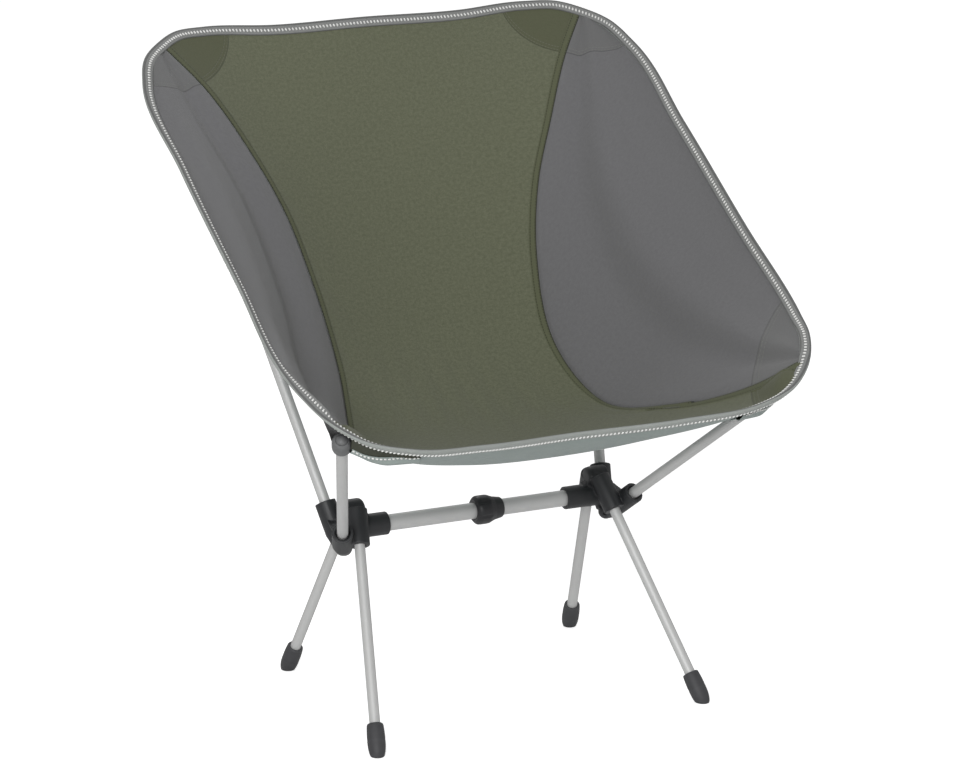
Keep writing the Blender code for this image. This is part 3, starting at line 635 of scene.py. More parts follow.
def thick_grid(name, points, half, uv, attributes=None, rise=0.0, top_slots=0, under_slot=0, side=1.0):
    """A closed sheet round a grid of points: the top stands rise above the usual half thickness."""
    rows, columns = points.shape[:2]
    normals = grid_normals(points)
    top = points + normals * np.broadcast_to(half + rise, (rows, columns))[..., None]
    bottom = points - normals * half
    count = rows * columns
    both = np.vstack([top.reshape(-1, 3), bottom.reshape(-1, 3)])
    both[:, 0] *= side
    turn = side < 0.0
    upper = grid_faces(rows, columns, 0, not turn)
    lower = grid_faces(rows, columns, count, turn)
    rim = np.concatenate([
        np.arange(columns),
        np.arange(1, rows) * columns + columns - 1,
        (rows - 1) * columns + np.arange(columns - 2, -1, -1),
        np.arange(rows - 2, 0, -1) * columns,
    ])
    following = np.roll(rim, -1)
    edge = np.stack([rim, following, following + count, rim + count], axis=-1)
    if turn:
        edge = edge[:, ::-1]
    top_slots = np.tile(np.broadcast_to(top_slots, columns - 1), rows - 1)
    slots = np.concatenate([top_slots, np.full(len(lower) + len(edge), under_slot)])
    doubled = {key: np.tile(values.ravel(), 2) for key, values in (attributes or {}).items()}
    faces = np.vstack([upper, lower, edge])
    return build_mesh(name, both, faces, doubled, np.tile(uv.reshape(-1, 2), (2, 1)), slots)


def sheet_map(rows, columns, width, depth):
    return np.stack(np.meshgrid(np.linspace(0.0, width, columns), np.linspace(0.0, depth, rows)), axis=-1)


def mean_length(grid, axis):
    return np.linalg.norm(np.diff(grid, axis=axis), axis=-1).sum(axis).mean()


def ruled(first, last, rows):
    """A grid of points whose rows pass evenly from one row to another."""
    share = np.linspace(0.0, 1.0, rows)[:, None, None]
    return first * (1.0 - share) + last * share


def ring_faces(steps, count, closed_path):
    """Quads of a skin over closed rings of points."""
    i, j = np.meshgrid(np.arange(steps if closed_path else steps - 1), np.arange(count), indexing="ij")
    a, b, k = i * count, (i + 1) % steps * count, (j + 1) % count
    return np.stack([a + j, a + k, b + k, b + j], axis=-1).reshape(-1, 4)


def swept_grid(name, rings, closed_path, uv=None, slots=None, turn=False):
    """A skin over closed rings of points: rings is (steps, points in a ring, 3)."""
    faces = ring_faces(*rings.shape[:2], closed_path)
    return build_mesh(name, rings.reshape(-1, 3), faces[:, ::-1] if turn else faces, None, uv, slots)


def revolved(name, profile, base, axis, sides=ROUND_SIDES, closed=False):
    """A skin round an axis; the profile holds radii and heights above the base."""
    turn = np.array(Vector(axis).to_track_quat("Z", "Y").to_matrix())
    angle = np.linspace(0.0, 2.0 * math.pi, sides, endpoint=False)
    circle = np.stack([np.cos(angle), np.sin(angle), np.zeros(sides)], axis=1) @ turn.T
    rings = np.array([base + axis * height + circle * radius for radius, height in profile])
    return swept_grid(name, rings, closed, turn=True)


def close_ends(mesh, ring_starts, on_ground=False):
    """Fills the rings that start at the given vertices; a mesh on the ground is cut flat there."""
    shape = bmesh.new()
    shape.from_mesh(mesh)
    shape.verts.ensure_lookup_table()
    for start in ring_starts:
        shape.faces.new(shape.verts[start : start + ROUND_SIDES])
    if on_ground:
        cut = bisected(shape, (0.0, 0.0, SOLE_HEIGHT), (0.0, 0.0, -1.0))
        rim = [item for item in cut["geom_cut"] if isinstance(item, bmesh.types.BMEdge)]
        bmesh.ops.holes_fill(shape, edges=rim)
    bmesh.ops.recalc_face_normals(shape, faces=shape.faces)
    shape.to_mesh(mesh)
    shape.free()
    mesh.shade_smooth()
    mesh.set_sharp_from_angle(angle=math.radians(50.0))


def bisected(shape, point, normal):
    """Cuts away what lies beyond a plane."""
    geometry = [*shape.verts, *shape.edges, *shape.faces]
    return bmesh.ops.bisect_plane(
        shape, geom=geometry, dist=1e-7, plane_co=point, plane_no=normal, clear_outer=True
    )


# ---- Corners, zones and how the fabric follows the bodies ----

def mirrored(point, side):
    return Vector((point[0] * side, point[1], point[2]))


def cut_plane(corner, side):
    """(point, unit normal) of the plane that parts a corner pocket from the seat; it points outward."""
    across, down = (mirrored(point, side) for point in PATCH_CUT[corner])
    tip = mirrored(BACK_MEET if corner == "back" else FRONT_MEET, side)
    face = (across - tip).cross(down - tip)
    normal = face.cross(down - across).normalized()
    if normal.dot(tip - across) < 0.0:
        normal.negate()
    return across, normal


def patch_distance(points, corner):
    """How far right-hand points lie beyond a corner patch's curved edge, and their place along it."""
    across, normal = cut_plane(corner, 1.0)
    down = PATCH_CUT[corner][1]
    edge = np.array(down - across)
    offset = points - np.array(across)
    share = np.clip(offset @ edge / (edge @ edge), 0.0, 1.0)
    bulge = PATCH_BULGE[corner] * (4.0 * share * (1.0 - share)) ** 0.7
    return offset @ np.array(normal) + bulge, offset @ unit(edge)


def patch_attributes(points):
    """The patch attributes of points on either side of the chair."""
    right = points * np.where(points[..., :1] < 0.0, FLIP, 1.0)
    back, back_along = patch_distance(right, "back")
    front, front_along = patch_distance(right, "front")
    nearer_back = back > front
    return {
        "patch": np.where(nearer_back, back, front),
        "patch_along": np.where(nearer_back, back_along, front_along),
    }


def body_chain(corner, hand):
    """The bodies that carry the fabric from the seat's middle out to this corner's pocket."""
    first = "frame" if hand == "right" else "left_side"
    if corner == "front":
        return [first, f"pole_front_{hand}", f"pocket_front_{hand}"]
    return [first, f"pole_rear_{hand}", f"pole_rear_upper_{hand}", f"pocket_back_{hand}"]


def make_zones():
    """Each zone: a name, half-spaces to keep as (point, outward normal), and how it follows the bodies."""
    zones, inner = [], []
    for hand, side in SIDES.items():
        for corner, steps in ZONE_STEPS.items():
            point, normal = cut_plane(corner, side)
            chain = body_chain(corner, hand)
            borders = [point + normal * step for step in steps]
            inner.append((borders[0], normal))
            for i in range(len(steps) - 1):
                zones.append({
                    "name": f"{corner}_{hand}_{i + 1}",
                    "keep": [(borders[i], -normal), (borders[i + 1], normal)],
                    "bodies": (chain[i], chain[i + 1]),
                    "line": (borders[i], borders[i + 1]),
                })
            zones.append({
                "name": f"{corner}_{hand}_corner",
                "keep": [(borders[-1], -normal)],
                "bodies": (chain[-1],),
                "line": None,
            })
    stretch = Vector((MIDDLE_STRETCH, 0.0, 0.0))
    main = {"name": "main", "keep": inner, "bodies": ("frame", "left_side"), "line": (stretch, -stretch)}
    zones.append(main)
    return zones


zones = make_zones()


def follow(obj, zone, alone=None):
    """Attaches a piece to its zone's body, or bakes the transform of a piece whose zone lies between two
    bodies; alone is the one body of a piece off the middle strip.
    """
    if zone["name"] == "main" and alone:
        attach(obj, alone)
    elif zone["line"]:
        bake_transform(obj)
    else:
        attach(obj, zone["bodies"][0])


def inside(points, zone):
    kept = np.ones(len(points), bool)
    for point, normal in zone["keep"]:
        kept &= (points - np.array(point)) @ np.array(normal) <= 0.0
    return kept


def vectors_of(items, key="vector"):
    values = np.zeros(len(items) * 3, np.float32)
    items.foreach_get(key, values)
    return values.reshape(-1, 3)


def split_by_zone(mesh, name, slots, alone=None, stands_for=()):
    """Cuts a fabric mesh at the zone borders into one piece for each zone it reaches."""
    rest = vectors_of(mesh.vertices, "co")
    normals = vectors_of(mesh.vertex_normals)
    mesh.attributes.new("rest_normal", "FLOAT_VECTOR", "POINT").data.foreach_set("vector", normals.ravel())
    for zone in zones:
        if not inside(rest, zone).any():
            continue
        shape = bmesh.new()
        shape.from_mesh(mesh)
        for point, normal in zone["keep"]:
            bisected(shape, point, normal)
        part = bpy.data.meshes.new(f"{name}_{zone['name']}")
        shape.to_mesh(part)
        shape.free()
        part.shade_smooth()
        normals = unit(vectors_of(part.attributes["rest_normal"].data))
        part.normals_split_custom_set_from_vertices(normals.tolist())
        part.attributes.remove(part.attributes["rest_normal"])
        obj = new_object(part, *slots)
        follow(obj, zone, alone)
        if zone["name"] == "main":
            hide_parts(*stands_for)
    bpy.data.meshes.remove(mesh)


# ---- Seat fabric ----

def side_folds(w, t, side):
    """Soft tension folds that run from corner to corner along a side panel."""
    turn = 2.0 * math.pi
    envelope = np.sin(math.pi * np.clip(w, 0.0, 1.0)) ** 0.8 * np.sin(math.pi * np.clip(t, 0.0, 1.0)) ** 0.6
    drift = w + 0.07 * np.sin(turn * (t * 0.9 + 0.12 * side))
    wave = np.cos(turn * 1.6 * drift + 0.5 * side) + 0.25 * np.cos(turn * 3.4 * drift + 1.9)
    return SIDE_FOLD * envelope * wave


def middle_folds(u, t):
    """Faint drag lines near the seams, and a slow ripple across the lower back."""
    near_seam = np.clip((np.abs(u) - 0.45) / 0.55, 0.0, 1.0) ** 1.5
    near_seam = near_seam * np.clip((1.0 - np.abs(u)) * 9.0, 0.0, 1.0)
    drag = near_seam * np.sin(2.0 * math.pi * (t * 9.0 + u * u * 1.7)) * np.sin(math.pi * t)
    bend = np.exp(-(((t - 0.60) / 0.10) ** 2))
    crease = bend * np.sin(2.0 * math.pi * (u * 5.0 + 0.2)) * (1.0 - u * u)
    return DRAG_FOLD * drag + LUMBAR_FOLD * crease


# The felled strip along each seam: distances from the seam, and the share of SEAM_RISE at each.
FELL_PLACES = 0.0001 * np.array([0.0, 7.0, 14.0, 22.0, 40.0, 58.0, 66.0, 74.0, 80.0, 86.0, 100.0, 130.0])
FELL_HEIGHTS = np.array([0.2, 0.8, 0.8, 1.0, 1.05, 1.0, 0.8, 0.9, 0.7, 0.0, 0.0, 0.0])
FELL_COLUMNS = 8


def build_sling():
    rows, inner_count = 230, 84
    t = np.linspace(0.0, 1.0, rows)
    half_width = along(curves["seam"], t)[:, :1] * 1.12
    edge_u = 1.0 - FELL_PLACES / half_width
    inner_u = np.linspace(-1.0, 1.0, inner_count)[1:-1] * edge_u[:, -1:]
    u = np.hstack([-edge_u, inner_u, edge_u[:, ::-1]])
    t_grid = np.repeat(t[:, None], u.shape[1], axis=1)
    points = middle_surface(u, t_grid)
    points = points + grid_normals(points) * middle_folds(u, t_grid)[..., None]
    points = lifted_both(dipped(points))
    uv = np.stack([u * half_width, t_grid * path_length(curves["middle"])], axis=-1)
    attributes = patch_attributes(points)
    attributes["seam"] = (1.0 - np.abs(u)) * half_width
    rise = SEAM_RISE * np.concatenate([FELL_HEIGHTS, np.zeros(inner_count - 2), FELL_HEIGHTS[::-1]])
    slots = np.zeros(u.shape[1] - 1, int)
    slots[:FELL_COLUMNS] = slots[-FELL_COLUMNS:] = 2
    mesh = thick_grid("sling", points, CLOTH / 2, uv, attributes, rise, slots, 1)
    cloths = ("sling", "underside", "seam")
    split_by_zone(mesh, "sling", cloths, stands_for=("seat_panel_middle",))


def build_side(hand):
    rows, columns, side = 210, 44, SIDES[hand]
    w, t = np.meshgrid(np.linspace(0.0, 1.0, columns), np.linspace(0.0, 1.0, rows))
    flat = side_surface(w, t)
    points = flat + grid_normals(flat) * side_folds(w, t, side)[..., None]
    points[0], points[-1] = flat[0], flat[-1]
    points = cleared(dipped(points))
    width = np.linalg.norm(flat[:, -1:] - flat[:, :1], axis=-1)
    uv = np.stack([w * width, t * path_length(curves["side"])], axis=-1)
    name = f"side_{hand}"
    mesh = thick_grid(name, points, CLOTH / 2, uv, patch_attributes(points), under_slot=1, side=side)
    alone = "left_side" if hand == "left" else "frame"
    split_by_zone(mesh, name, ("side", "underside"), alone, (f"seat_panel_{hand}",))


def rim_frames(samples=1500):
    """Points round the whole outline with unit vectors along it, into the fabric, and up from it."""
    half = dipped(curves["outline"])
    back, front = curves["back_index"], curves["front_index"]
    margin = TAPE_WIDTH / path_length(curves["middle"])
    index = np.arange(len(half))
    inward = np.zeros_like(half)
    for chosen, t in ((index <= back, margin), (index >= front, 1.0 - margin)):
        width = along(curves["seam"], np.array([t]))[0, 0]
        u = np.clip(half[chosen, 0] / width, 0.0, 0.97)
        inward[chosen] = dipped(middle_surface(u, np.full(len(u), t))) - half[chosen]
    side_index = index[(index > back) & (index < front)]
    t = (side_index - back) / (front - back)
    inward[side_index] = dipped(side_surface(np.full(len(t), 0.9), t)) - half[side_index]
    inward = unit(inward)
    loop = np.vstack([half, (half * FLIP)[-2:0:-1]])
    inward = np.vstack([inward, (inward * FLIP)[-2:0:-1]])
    reach = 36  # points on either side over which the inward directions are smoothed
    kernel = np.exp(-np.linspace(-2.0, 2.0, 2 * reach + 1) ** 2)
    padded = np.vstack([inward[-reach:], inward, inward[:reach]])
    inward = np.stack([np.convolve(padded[:, k], kernel, "valid") for k in range(3)], axis=1)
    tangent = unit(np.roll(loop, -1, axis=0) - np.roll(loop, 1, axis=0))
    inward = unit(inward - tangent * (inward * tangent).sum(1, keepdims=True))
    closed = [np.vstack([values, values[:1]]) for values in (loop, tangent, inward)]
    length = lengths_along(closed[0])
    even = np.linspace(0.0, length[-1], samples, endpoint=False)
    loop, tangent, inward = (sampled(even, length, values) for values in closed)
    tangent, inward = unit(tangent), unit(inward)
    return loop, tangent, inward, unit(np.cross(inward, tangent)), even, length[-1]


rim_loop, rim_run, rim_in, rim_up, rim_places, rim_length = rim_frames()


def tape_section():
    """(depth into the fabric, height) of the folded edge tape's outer skin, top edge to bottom edge."""
    top, bend = CLOTH / 2 + TAPE_RISE, 0.0012
    upper = [(TAPE_WIDTH, CLOTH / 2), (TAPE_WIDTH, top * 0.72), (TAPE_WIDTH - 0.0006, top * 0.92)]
    for share in np.linspace(0.0, 1.0, 7):
        depth = (TAPE_WIDTH - bend) * (1.0 - share) + bend * share
        upper.append((depth, top * (0.97 + 0.10 * math.sin(math.pi * share))))
    for angle in np.linspace(0.3, math.pi / 2, 4):
        upper.append((bend - 2.0 * bend * math.sin(angle), top * 0.97 * math.cos(angle)))
    return np.array(upper + [(depth, -height) for depth, height in upper[-2::-1]])


def build_binding():
    section = tape_section()
    rings = rim_loop[:, None] + rim_in[:, None] * section[:, :1] + rim_up[:, None] * section[:, 1:]
    uv = np.stack(np.broadcast_arrays(lengths_along(section), rim_places[:, None]), axis=-1)
    # The lower half of the tape's section takes the lighter copy, which is painted light on the tape's
    # underside.
    slots = np.tile(np.arange(len(section)) >= len(section) // 2 - 1, len(rings))
    mesh = swept_grid("binding", rings, True, uv.reshape(-1, 2), slots)
    stands_for = [f"binding_{place}" for place in ("back", "front", "left", "right")]
    split_by_zone(mesh, "binding", ("tape", "tape_back"), stands_for=stands_for)


# Stations along a stitch: place from its middle and share of its full radius.
STITCH_STATIONS = ((-0.5, 0.35), (-0.36, 0.95), (0.36, 0.95), (0.5, 0.35))
STITCH_SIDES = 6
STITCH_SLANT = 0.35


def build_stitches(name, centres, directions, ups, length):
    """Short rounded threads, each lying along its direction, as one piece."""
    across = unit(np.cross(ups, directions))
    points = []
    for place, size in STITCH_STATIONS:
        for angle in np.linspace(0.0, 2.0 * math.pi, STITCH_SIDES, endpoint=False):
            out = across * math.cos(angle) + ups * math.sin(angle)
            points.append(centres + directions * (place * length) + out * (STITCH_RADIUS * size))
    count = len(points)
    single = ring_faces(len(STITCH_STATIONS), STITCH_SIDES, False).tolist()
    single += [list(range(STITCH_SIDES - 1, -1, -1)), list(range(count - STITCH_SIDES, count))]
    faces = [[k + i * count for k in face] for i in range(len(centres)) for face in single]
    mesh = build_mesh(name, np.stack(points, axis=1).reshape(-1, 3), faces)
    return new_object(mesh, "thread")


def build_zoned_stitches(name, places, centres, directions, ups, length):
    """A row of stitches in one piece for each zone; the places decide which stitch goes where."""
    for zone in zones:
        here = inside(places, zone)
        if here.any():
            piece_name = f"{name}_{zone['name']}"
            piece = build_stitches(piece_name, centres[here], directions[here], ups[here], length)
            follow(piece, zone)


def stitch_places(path):
    """Where the stitches of a row lie along a path, as shares of it."""
    count = int(path_length(path) / STITCH_PITCH)
    return (np.arange(count) + 0.5) / count


def build_rim_stitches():
    """A close row of slanting white stitches along the middle of the tape, above and below."""
    count = int(rim_length / STITCH_PITCH)
    places = np.arange(count) * rim_length / count
    at = np.append(rim_places, rim_length)
    wrapped = [np.vstack([values, values[:1]]) for values in (rim_loop, rim_run, rim_in, rim_up)]
    centre, run, into, over = (sampled(places, at, values) for values in wrapped)
    run, into, over = unit(run), unit(into), unit(over)
    middle, lift = centre + into * STITCH_PLACE, over * (CLOTH / 2 + TAPE_RISE * 1.12)
    slant = unit(into + run * STITCH_SLANT)
    build_zoned_stitches(
        "rim_stitches",
        np.vstack([middle, middle]),
        np.vstack([middle + lift, middle - lift]),
        np.vstack([slant, slant]),
        np.vstack([over, -over]),
        RIM_STITCH,
    )


# ---- Corner pockets ----

def build_pouch(hand):
    """The pouch behind a back corner: a taut patch from the rim to a free edge round the pole's tip."""
    side, pocket = SIDES[hand], f"pocket_back_{hand}"
    low, high, axis, radius = pole_axis("back", hand)
    cut_point, cut_normal = cut_plane("back", side)
    outline = curves["outline"] * TURNS[hand]
    index = np.arange(len(outline))
    beyond = (outline - np.array(cut_point)) @ np.array(cut_normal) > 0.001
    rim = outline[beyond & (np.abs(index - curves["back_index"]) < 0.2 * len(outline))]
    where = [nearest(rim_loop, point) for point in rim]
    under = -rim_up[where]
    rim = rim + rim_in[where] * 0.0030 + under * (CLOTH / 2 + 0.0004)
    tip = high + axis * TIP_LENGTH
    down = unit(under.mean(0) - axis * (under.mean(0) @ axis))
    mouth = tip - axis * 0.030 + down * (radius + 0.0042)
    first, last = (end * 0.52 + mouth * 0.48 + down * 0.002 for end in (rim[0], rim[-1]))
    edge = smooth_path([rim[0], first, mouth, last, rim[-1]], 121)
    grid = ruled(edge, smooth_path(rim[:: max(1, len(rim) // 40)], len(edge)), 34)
    grid = wrapped_round(grid, low, tip, axis, down, radius + 0.0020)
    uv = sheet_map(*grid.shape[:2], mean_length(grid, 1), 0.05)
    if grid_normals(grid).mean((0, 1)) @ down > 0.0:
        grid, uv = grid[:, ::-1], uv[:, ::-1]
    mesh = thick_grid(f"pouch_back_{hand}", grid, 0.0006, uv)
    carried(new_object(mesh, "pouch"), pocket, pocket)
    build_pouch_edge(hand, edge, down, pocket)
    build_cup(hand, tip, axis, radius, pocket)


def wrapped_round(grid, low, tip, axis, down, clearance):
    """The grid eased off a pole by the clearance, with its inner points smoothed in turn."""
    for _ in range(3):
        offset = grid - low
        place = offset @ axis
        radial = offset - place[..., None] * axis
        height = radial @ down
        wide = np.linalg.norm(radial - height[..., None] * down, axis=-1)
        held = (place < np.dot(tip - low, axis) + 0.004) & (wide < clearance)
        need = np.sqrt(np.clip(clearance**2 - wide**2, 0.0, None))
        grid = grid + np.where(held, np.clip(need - height, 0.0, None), 0.0)[..., None] * down
        around = (grid[:-2, 1:-1] + grid[2:, 1:-1] + grid[1:-1, :-2] + grid[1:-1, 2:]) / 4.0
        grid[1:-1, 1:-1] = grid[1:-1, 1:-1] * 0.5 + around * 0.5
    return grid


def build_pouch_edge(hand, edge, down, pocket):
    """Light tape folded over the pouch's free edge, with its stitches."""
    run = unit(np.gradient(edge, axis=0))
    out = unit(down - run * (run @ down)[:, None])
    flat = unit(np.cross(run, out))
    angles = np.linspace(0.0, 2.0 * math.pi, 12, endpoint=False)
    rings = [edge + flat * (0.0034 * math.cos(a)) + out * (0.0012 * math.sin(a)) for a in angles]
    length = np.linspace(0.0, path_length(edge), len(edge))
    uv = np.stack(np.broadcast_arrays(np.arange(12) * 0.001, length[:, None]), axis=-1)
    name = f"pouch_tape_back_{hand}"
    mesh = swept_grid(name, np.stack(rings, axis=1), False, uv.reshape(-1, 2))
    carried(new_object(mesh, "tape"), pocket)
    place = stitch_places(edge)
    run, over = unit(along(run, place)), unit(along(out, place))
    slant = unit(np.cross(run, over) + run * STITCH_SLANT)
    centres = along(edge, place) + over * 0.0013
    row = build_stitches(f"pouch_stitches_back_{hand}", centres, slant, over, POCKET_STITCH)
    carried(row, pocket)


# The moulded sleeve at a pouch's mouth: walls beyond the pole's radius, and heights.
CUP_PROFILE = (
    (0.0012, 0.0), (0.0034, 0.0), (0.0044, 0.0012), (0.0046, 0.0060), (0.0040, 0.0110), (0.0030, 0.0140),
    (0.0012, 0.0140),
)


def build_cup(hand, tip, axis, radius, pocket):
    profile = [(radius + wall, height) for wall, height in CUP_PROFILE]
    mesh = revolved(f"pouch_cup_back_{hand}", profile, tip - axis * 0.034, axis, 40, closed=True)
    cup = new_object(mesh, "cup")
    bevel = cup.modifiers.new("Round", "BEVEL")
    bevel.width = 0.0005
    bevel.segments = 2
    carried(cup, pocket)


def seat_underside():
    """A tree of right-hand cloth points by their place in plan, and their heights."""
    across, down = np.meshgrid(np.linspace(0.0, 1.0, 60), np.linspace(0.6, 1.0, 90))
    sheets = (middle_surface(across, down), side_surface(across, down))
    points = np.vstack([cleared(dipped(sheet)).reshape(-1, 3) for sheet in sheets])
    return tree_of(points * np.array([1.0, 1.0, 0.0])), points[:, 2]


def under_cloth(points, underside, gap):
    """The points lowered where they would come closer to the cloth above them than the gap."""
    tree, heights = underside
    flat = points.reshape(-1, 3).copy()
    above = np.array([heights[tree.find((x, y, 0.0))[1]] for x, y, _ in flat])
    flat[:, 2] = np.minimum(flat[:, 2], above - CLOTH / 2 - gap)
    return flat.reshape(points.shape)


def build_front_pocket(hand, underside):
    """The pocket on a front pole: an end cap, a stitched wall with a lining painted with the shade inside
    the pocket, and the webbing on the cap.
    """
    _, high, axis, radius = pole_axis("front", "right")
    tip = high + axis * TIP_LENGTH
    build_end_cap(hand, tip, axis, radius)
    outline, front = dipped(curves["outline"]), curves["front_index"]
    rim = outline[front:]
    webbing_end = nearest(rim[:, :1], WEBBING_END)
    lip_end = nearest(rim[:, :1], POCKET_LIP[-1][0])
    wall = build_pocket_wall(hand, rim[webbing_end : lip_end + 1], underside)
    build_lip_stitches(hand, wall)
    build_webbing(hand, outline[front - 12 : front + webbing_end], tip, axis, underside)


def build_pocket_wall(hand, edge, underside):
    """The wall under the front edge and the lining behind its lip, with painted shade on the lining and on
    the wall's top faces; returns the wall's points.
    """
    share = np.linspace(0.0, 1.0, 56)
    lip, fold = along(smooth_path(POCKET_LIP), share), along(smooth_path(POCKET_FOLD), share)
    back = fold + np.array([0.0, POCKET_DEPTH, 0.010])
    wall = np.stack([smooth_path(list(three), 16) for three in zip(lip, fold, back)], axis=1)
    wall = under_cloth(wall, underside, 0.0012)
    start = along(edge, share) + np.array([0.0, 0.006, -0.002])
    end = wall[1] + np.array([0.0, 0.003, 0.0])
    lining = under_cloth(ruled(start, end, 10), underside, 0.0010)
    # The wall's top faces and the whole lining take the painted shade of the pocket's inside.
    for name, grid, under in (("wall", wall, 0), ("lining", lining, 1)):
        name = f"pocket_{name}_{hand}"
        uv = sheet_map(*grid.shape[:2], mean_length(grid, 1), mean_length(grid, 0))
        mesh = thick_grid(name, grid, 0.0004, uv, None, 0.0, 1, under, SIDES[hand])
        split_by_zone(mesh, name, ("underside", "lining"))
    return wall


def build_lip_stitches(hand, wall):
    run = unit(np.gradient(wall[1], axis=0))
    out = unit(np.cross(wall[2] - wall[0], run))
    out = out * np.where(out[:, 1:2] > 0.0, -1.0, 1.0)
    place, turn = stitch_places(wall[1]), TURNS[hand]
    centre, run, out = (along(values, place) * turn for values in (wall[1] + out * 0.0007, run, out))
    name = f"pocket_stitches_{hand}"
    build_zoned_stitches(name, centre, centre, unit(run), unit(out), POCKET_STITCH)


def build_webbing(hand, held, tip, axis, underside):
    """A strap from the rim round the end cap."""
    up = upward(axis)
    out = unit(np.cross(up, axis))
    out = out if out[0] > 0.0 else -out
    top = along(held, np.linspace(0.0, 1.0, 15)) + np.array([-0.002, 0.004, -0.002])
    angles = np.radians(np.linspace(75.0, -55.0, 15))[:, None]
    middle = tip - axis * (CAP_LENGTH * 0.45)
    bottom = middle + (up * np.cos(angles) + out * np.sin(angles)) * (CAP_RADIUS - 0.0004)
    strap = under_cloth(ruled(top, bottom, 14), underside, 0.0010)
    uv = sheet_map(14, 15, 0.02, 0.03)
    mesh = thick_grid(f"pocket_webbing_{hand}", strap, 0.0007, uv, side=SIDES[hand])
    carried(new_object(mesh, "webbing"), f"pocket_front_{hand}")


# The end cap: shares of CAP_RADIUS and heights, from its mouth to a shallow ring on its nose.
CAP_PROFILE = (
    (0.86, 0.0), (0.97, 0.0012), (1.0, 0.0040), (1.0, 0.0130), (0.94, 0.0164), (0.80, 0.0190),
    (0.66, 0.0203), (0.60, 0.0196), (0.52, 0.0210), (0.28, 0.0221), (0.04, 0.0224),
)


def build_end_cap(hand, tip, axis, radius):
    pocket, turn = f"pocket_front_{hand}", TURNS[hand]
    profile = [(radius + 0.0012, 0.0)] + [(CAP_RADIUS * share, height) for share, height in CAP_PROFILE]
    mesh = revolved(f"{pocket}_cap", profile, (tip - axis * CAP_LENGTH) * turn, axis * turn)
    close_ends(mesh, ((len(profile) - 1) * ROUND_SIDES, 0))
    carried(new_object(mesh, "cup"), pocket, pocket)


# ---- Hardware ----

def welded_copy(node, name, slot):
    """A copy of a CAD node's mesh with its facets joined, to be refined; it stands for the node."""
    source = frame["nodes"][node]
    shape = bmesh.new()
    shape.from_mesh(source.data)
    bmesh.ops.remove_doubles(shape, verts=shape.verts, dist=0.00001)
    mesh = bpy.data.meshes.new(name)
    shape.to_mesh(mesh)
    shape.free()
    mesh.materials.clear()
    return new_object(mesh, slot)


def moulded(node, slot, voxel):
    """A moulded part: the CAD shape with softly rounded edges."""
    obj = welded_copy(node, f"{node}_moulded", slot)
    steps = {
        "REMESH": {"mode": "VOXEL", "voxel_size": voxel, "use_smooth_shade": True},
        "SMOOTH": {"factor": 0.5, "iterations": 4},
        "DECIMATE": {"ratio": 0.5},
    }
    for kind, settings in steps.items():
        modifier = obj.modifiers.new(kind.title(), kind)
        for key, value in settings.items():
            setattr(modifier, key, value)
    bpy.context.view_layer.update()
    evaluated = obj.evaluated_get(bpy.context.evaluated_depsgraph_get())
    mesh = bpy.data.meshes.new_from_object(evaluated)
    obj.modifiers.clear()
    old, obj.data = obj.data, mesh
    bpy.data.meshes.remove(old)
    mesh.shade_smooth()
    carried(obj, frame["nodes"][node]["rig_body"], node)


def round_node(node, slot, finish):
    """A tube or rod of the frame, smooth along its length with crisp ends."""
    obj = welded_copy(node, f"{node}_smooth", slot)
    obj.data.shade_smooth()
    obj.data.set_sharp_from_angle(angle=math.radians(40.0))
    carried(obj, frame["nodes"][node]["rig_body"], node)


# A foot cap's rolled lip and faint waist: shares of its radius, and distances from its mouth.
FOOT_LIP = ((0.85, 0.0), (0.91, 0.0008), (0.94, 0.0030), (0.98, 0.0080), (1.0, 0.0130), (0.985, 0.018))
DOME_START = -0.0035


def build_foot(place, hand):
    """A rubber cap: a rolled lip, a faint waist, a domed nose, cut flat on the ground."""
    leg, foot = f"leg_{place}_{hand}", f"foot_{place}_{hand}"
    start, end, tube_radius = node_line(leg)
    if start[2] < end[2]:
        start, end = end, start
    axis = unit(end - start)
    offset = node_points(foot) - end
    distance = offset @ axis
    radius = np.linalg.norm(offset - distance[:, None] * axis, axis=1).max()
    mouth, bore = distance.min(), tube_radius + 0.0002
    profile = [(bore, mouth + 0.004), (bore, mouth)]
    profile += [(radius * share, mouth + height) for share, height in FOOT_LIP]
    profile.append((radius, DOME_START))
    dome = distance.max() + 0.0022 - DOME_START
    for angle in np.radians(np.linspace(8.0, 86.0, 12)):
        profile.append((radius * math.cos(angle) ** 0.74, DOME_START + dome * math.sin(angle) ** 0.88))
    mesh = revolved(f"{foot}_cap", profile, end, axis)
    close_ends(mesh, ((len(profile) - 1) * ROUND_SIDES,), on_ground=True)
    carried(new_object(mesh, "foot"), leg, foot)


# Starts of node names, with the material and the slot of each kind.
ROUND_NODES = {
    ("leg_", "pole_", "crossbar_tube"): ("tube", "tube_alloy"),
    ("ferrule_", "crossbar_ferrule"): ("ferrule", "ferrule_alloy"),
    ("cord_",): ("cord", "shock_cord"),
    ("tip_",): ("tip", "tip_plastic"),
}


def build_hardware():
    for node in sorted(frame["nodes"]):
        for starts, kind in ROUND_NODES.items():
            if node.startswith(starts):
                round_node(node, *kind)
        if node.startswith("hub_"):
            moulded(node, "hub", 0.0006)
        elif node == "crossbar_collar":
            moulded(node, "collar", 0.0004)
        elif node.startswith("foot_"):
            build_foot(*node.split("_")[1:])


# ---- Stage ----

CAMERA_TARGET = Vector((0.0009, -0.007, 0.3317))
CAMERA_DISTANCE = 4.005
CAMERA_AZIMUTH = -24.834
CAMERA_ELEVATION = 15.216
CAMERA_ROLL = -0.164
CAMERA_LENS = 144.32
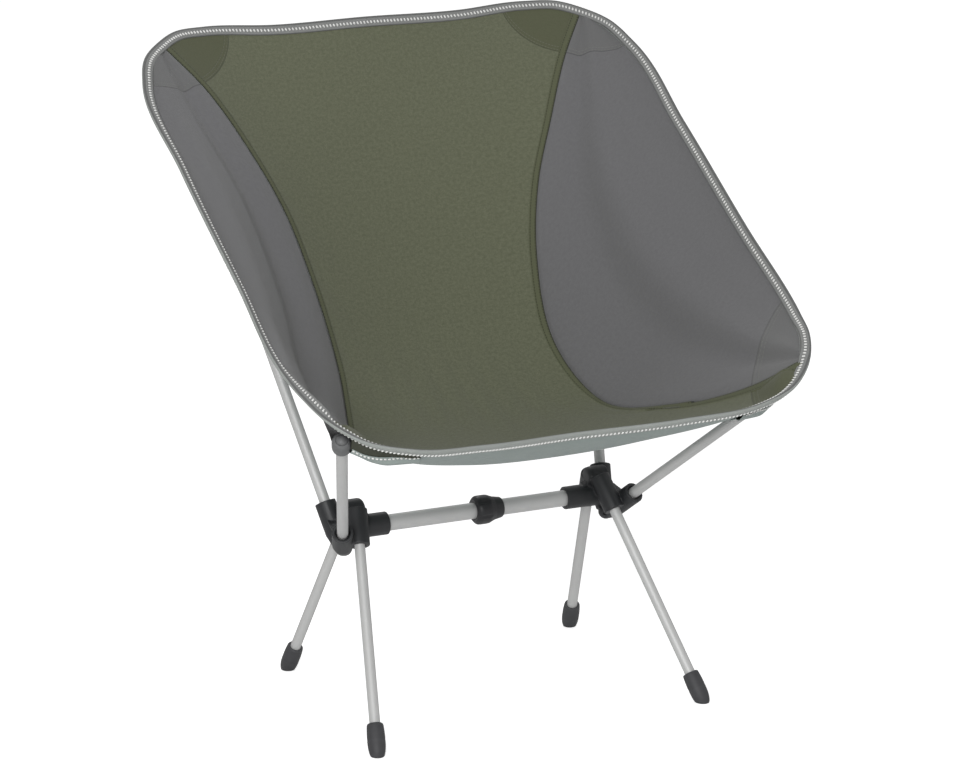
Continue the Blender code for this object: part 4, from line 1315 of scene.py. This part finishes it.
# Name, place, height aimed at, size and watts.
LIGHTS = (
    ("key", (-2.2, -3.2, 2.2), 0.3, 1.6, 105.0),
    ("fill", (2.6, -1.6, 1.8), 0.3, 1.8, 6.0),
    ("rim", (0.6, 2.6, 2.6), 0.4, 1.4, 18.0),
)
WORLD_LIGHT = 0.42
FLOOR_GLOW = 0.60
FLOOR_HALF = 40.0


def build_camera():
    data = bpy.data.cameras.new("camera")
    data.lens = CAMERA_LENS
    data.sensor_width = 36.0
    data.clip_end = 200.0
    camera = new_object(data)
    azimuth, elevation = math.radians(CAMERA_AZIMUTH), math.radians(CAMERA_ELEVATION)
    level = math.cos(elevation)
    forward = Vector((-math.sin(azimuth) * level, math.cos(azimuth) * level, -math.sin(elevation)))
    roll = Matrix.Rotation(math.radians(CAMERA_ROLL), 3, "Z")
    turn = forward.to_track_quat("-Z", "Y").to_matrix() @ roll
    camera.matrix_world = Matrix.Translation(CAMERA_TARGET - forward * CAMERA_DISTANCE) @ turn.to_4x4()
    bpy.context.scene.camera = camera


def add_light(name, location, aim_height, size, power):
    data = bpy.data.lights.new(name, "AREA")
    data.shape = "DISK"
    data.size = size
    data.energy = power
    light = new_object(data)
    light.location = location
    light.rotation_mode = "QUATERNION"
    toward = Vector((0.0, 0.0, aim_height)) - Vector(location)
    light.rotation_quaternion = toward.to_track_quat("-Z", "Y")


def build_stage():
    """A pale floor and surroundings, brighter to the camera than the light they cast, and the lights."""
    corners = np.array([(x, y, 0.0) for y in (-FLOOR_HALF, FLOOR_HALF) for x in (-FLOOR_HALF, FLOOR_HALF)])
    mesh = build_mesh("floor", corners, [[0, 1, 3, 2]])
    floor = new_object(mesh)
    floor.location = (0.0, 0.0, -0.0004)
    mat = MaterialTree("floor_paint")
    glow = mat.times(mat.add("LightPath").outputs["Is Camera Ray"], FLOOR_GLOW)
    paint = {"Emission_Color": (1.0, 1.0, 1.0), "Emission_Strength": glow}
    mesh.materials.append(mat.finished((0.93, 0.93, 0.93), 0.9, specular=0.1, **paint))
    world = bpy.data.worlds.new("studio")
    bpy.context.scene.world = world
    world.use_nodes = True
    nodes, links = world.node_tree.nodes, world.node_tree.links
    backdrop = nodes["Background"]
    backdrop.inputs["Color"].default_value = (1.0, 1.0, 1.0, 1.0)
    strength = nodes.new("ShaderNodeMapRange")
    strength.inputs["To Min"].default_value = WORLD_LIGHT
    links.new(nodes.new("ShaderNodeLightPath").outputs["Is Camera Ray"], strength.inputs["Value"])
    links.new(strength.outputs["Result"], backdrop.inputs["Strength"])
    for light in LIGHTS:
        add_light(*light)
    view = bpy.context.scene.view_settings
    view.view_transform = "Standard"
    view.look = "None"


build_sling()
underside = seat_underside()
for hand in SIDES:
    build_side(hand)
    build_pouch(hand)
    build_front_pocket(hand, underside)
build_binding()
build_rim_stitches()
build_hardware()
build_camera()
build_stage()
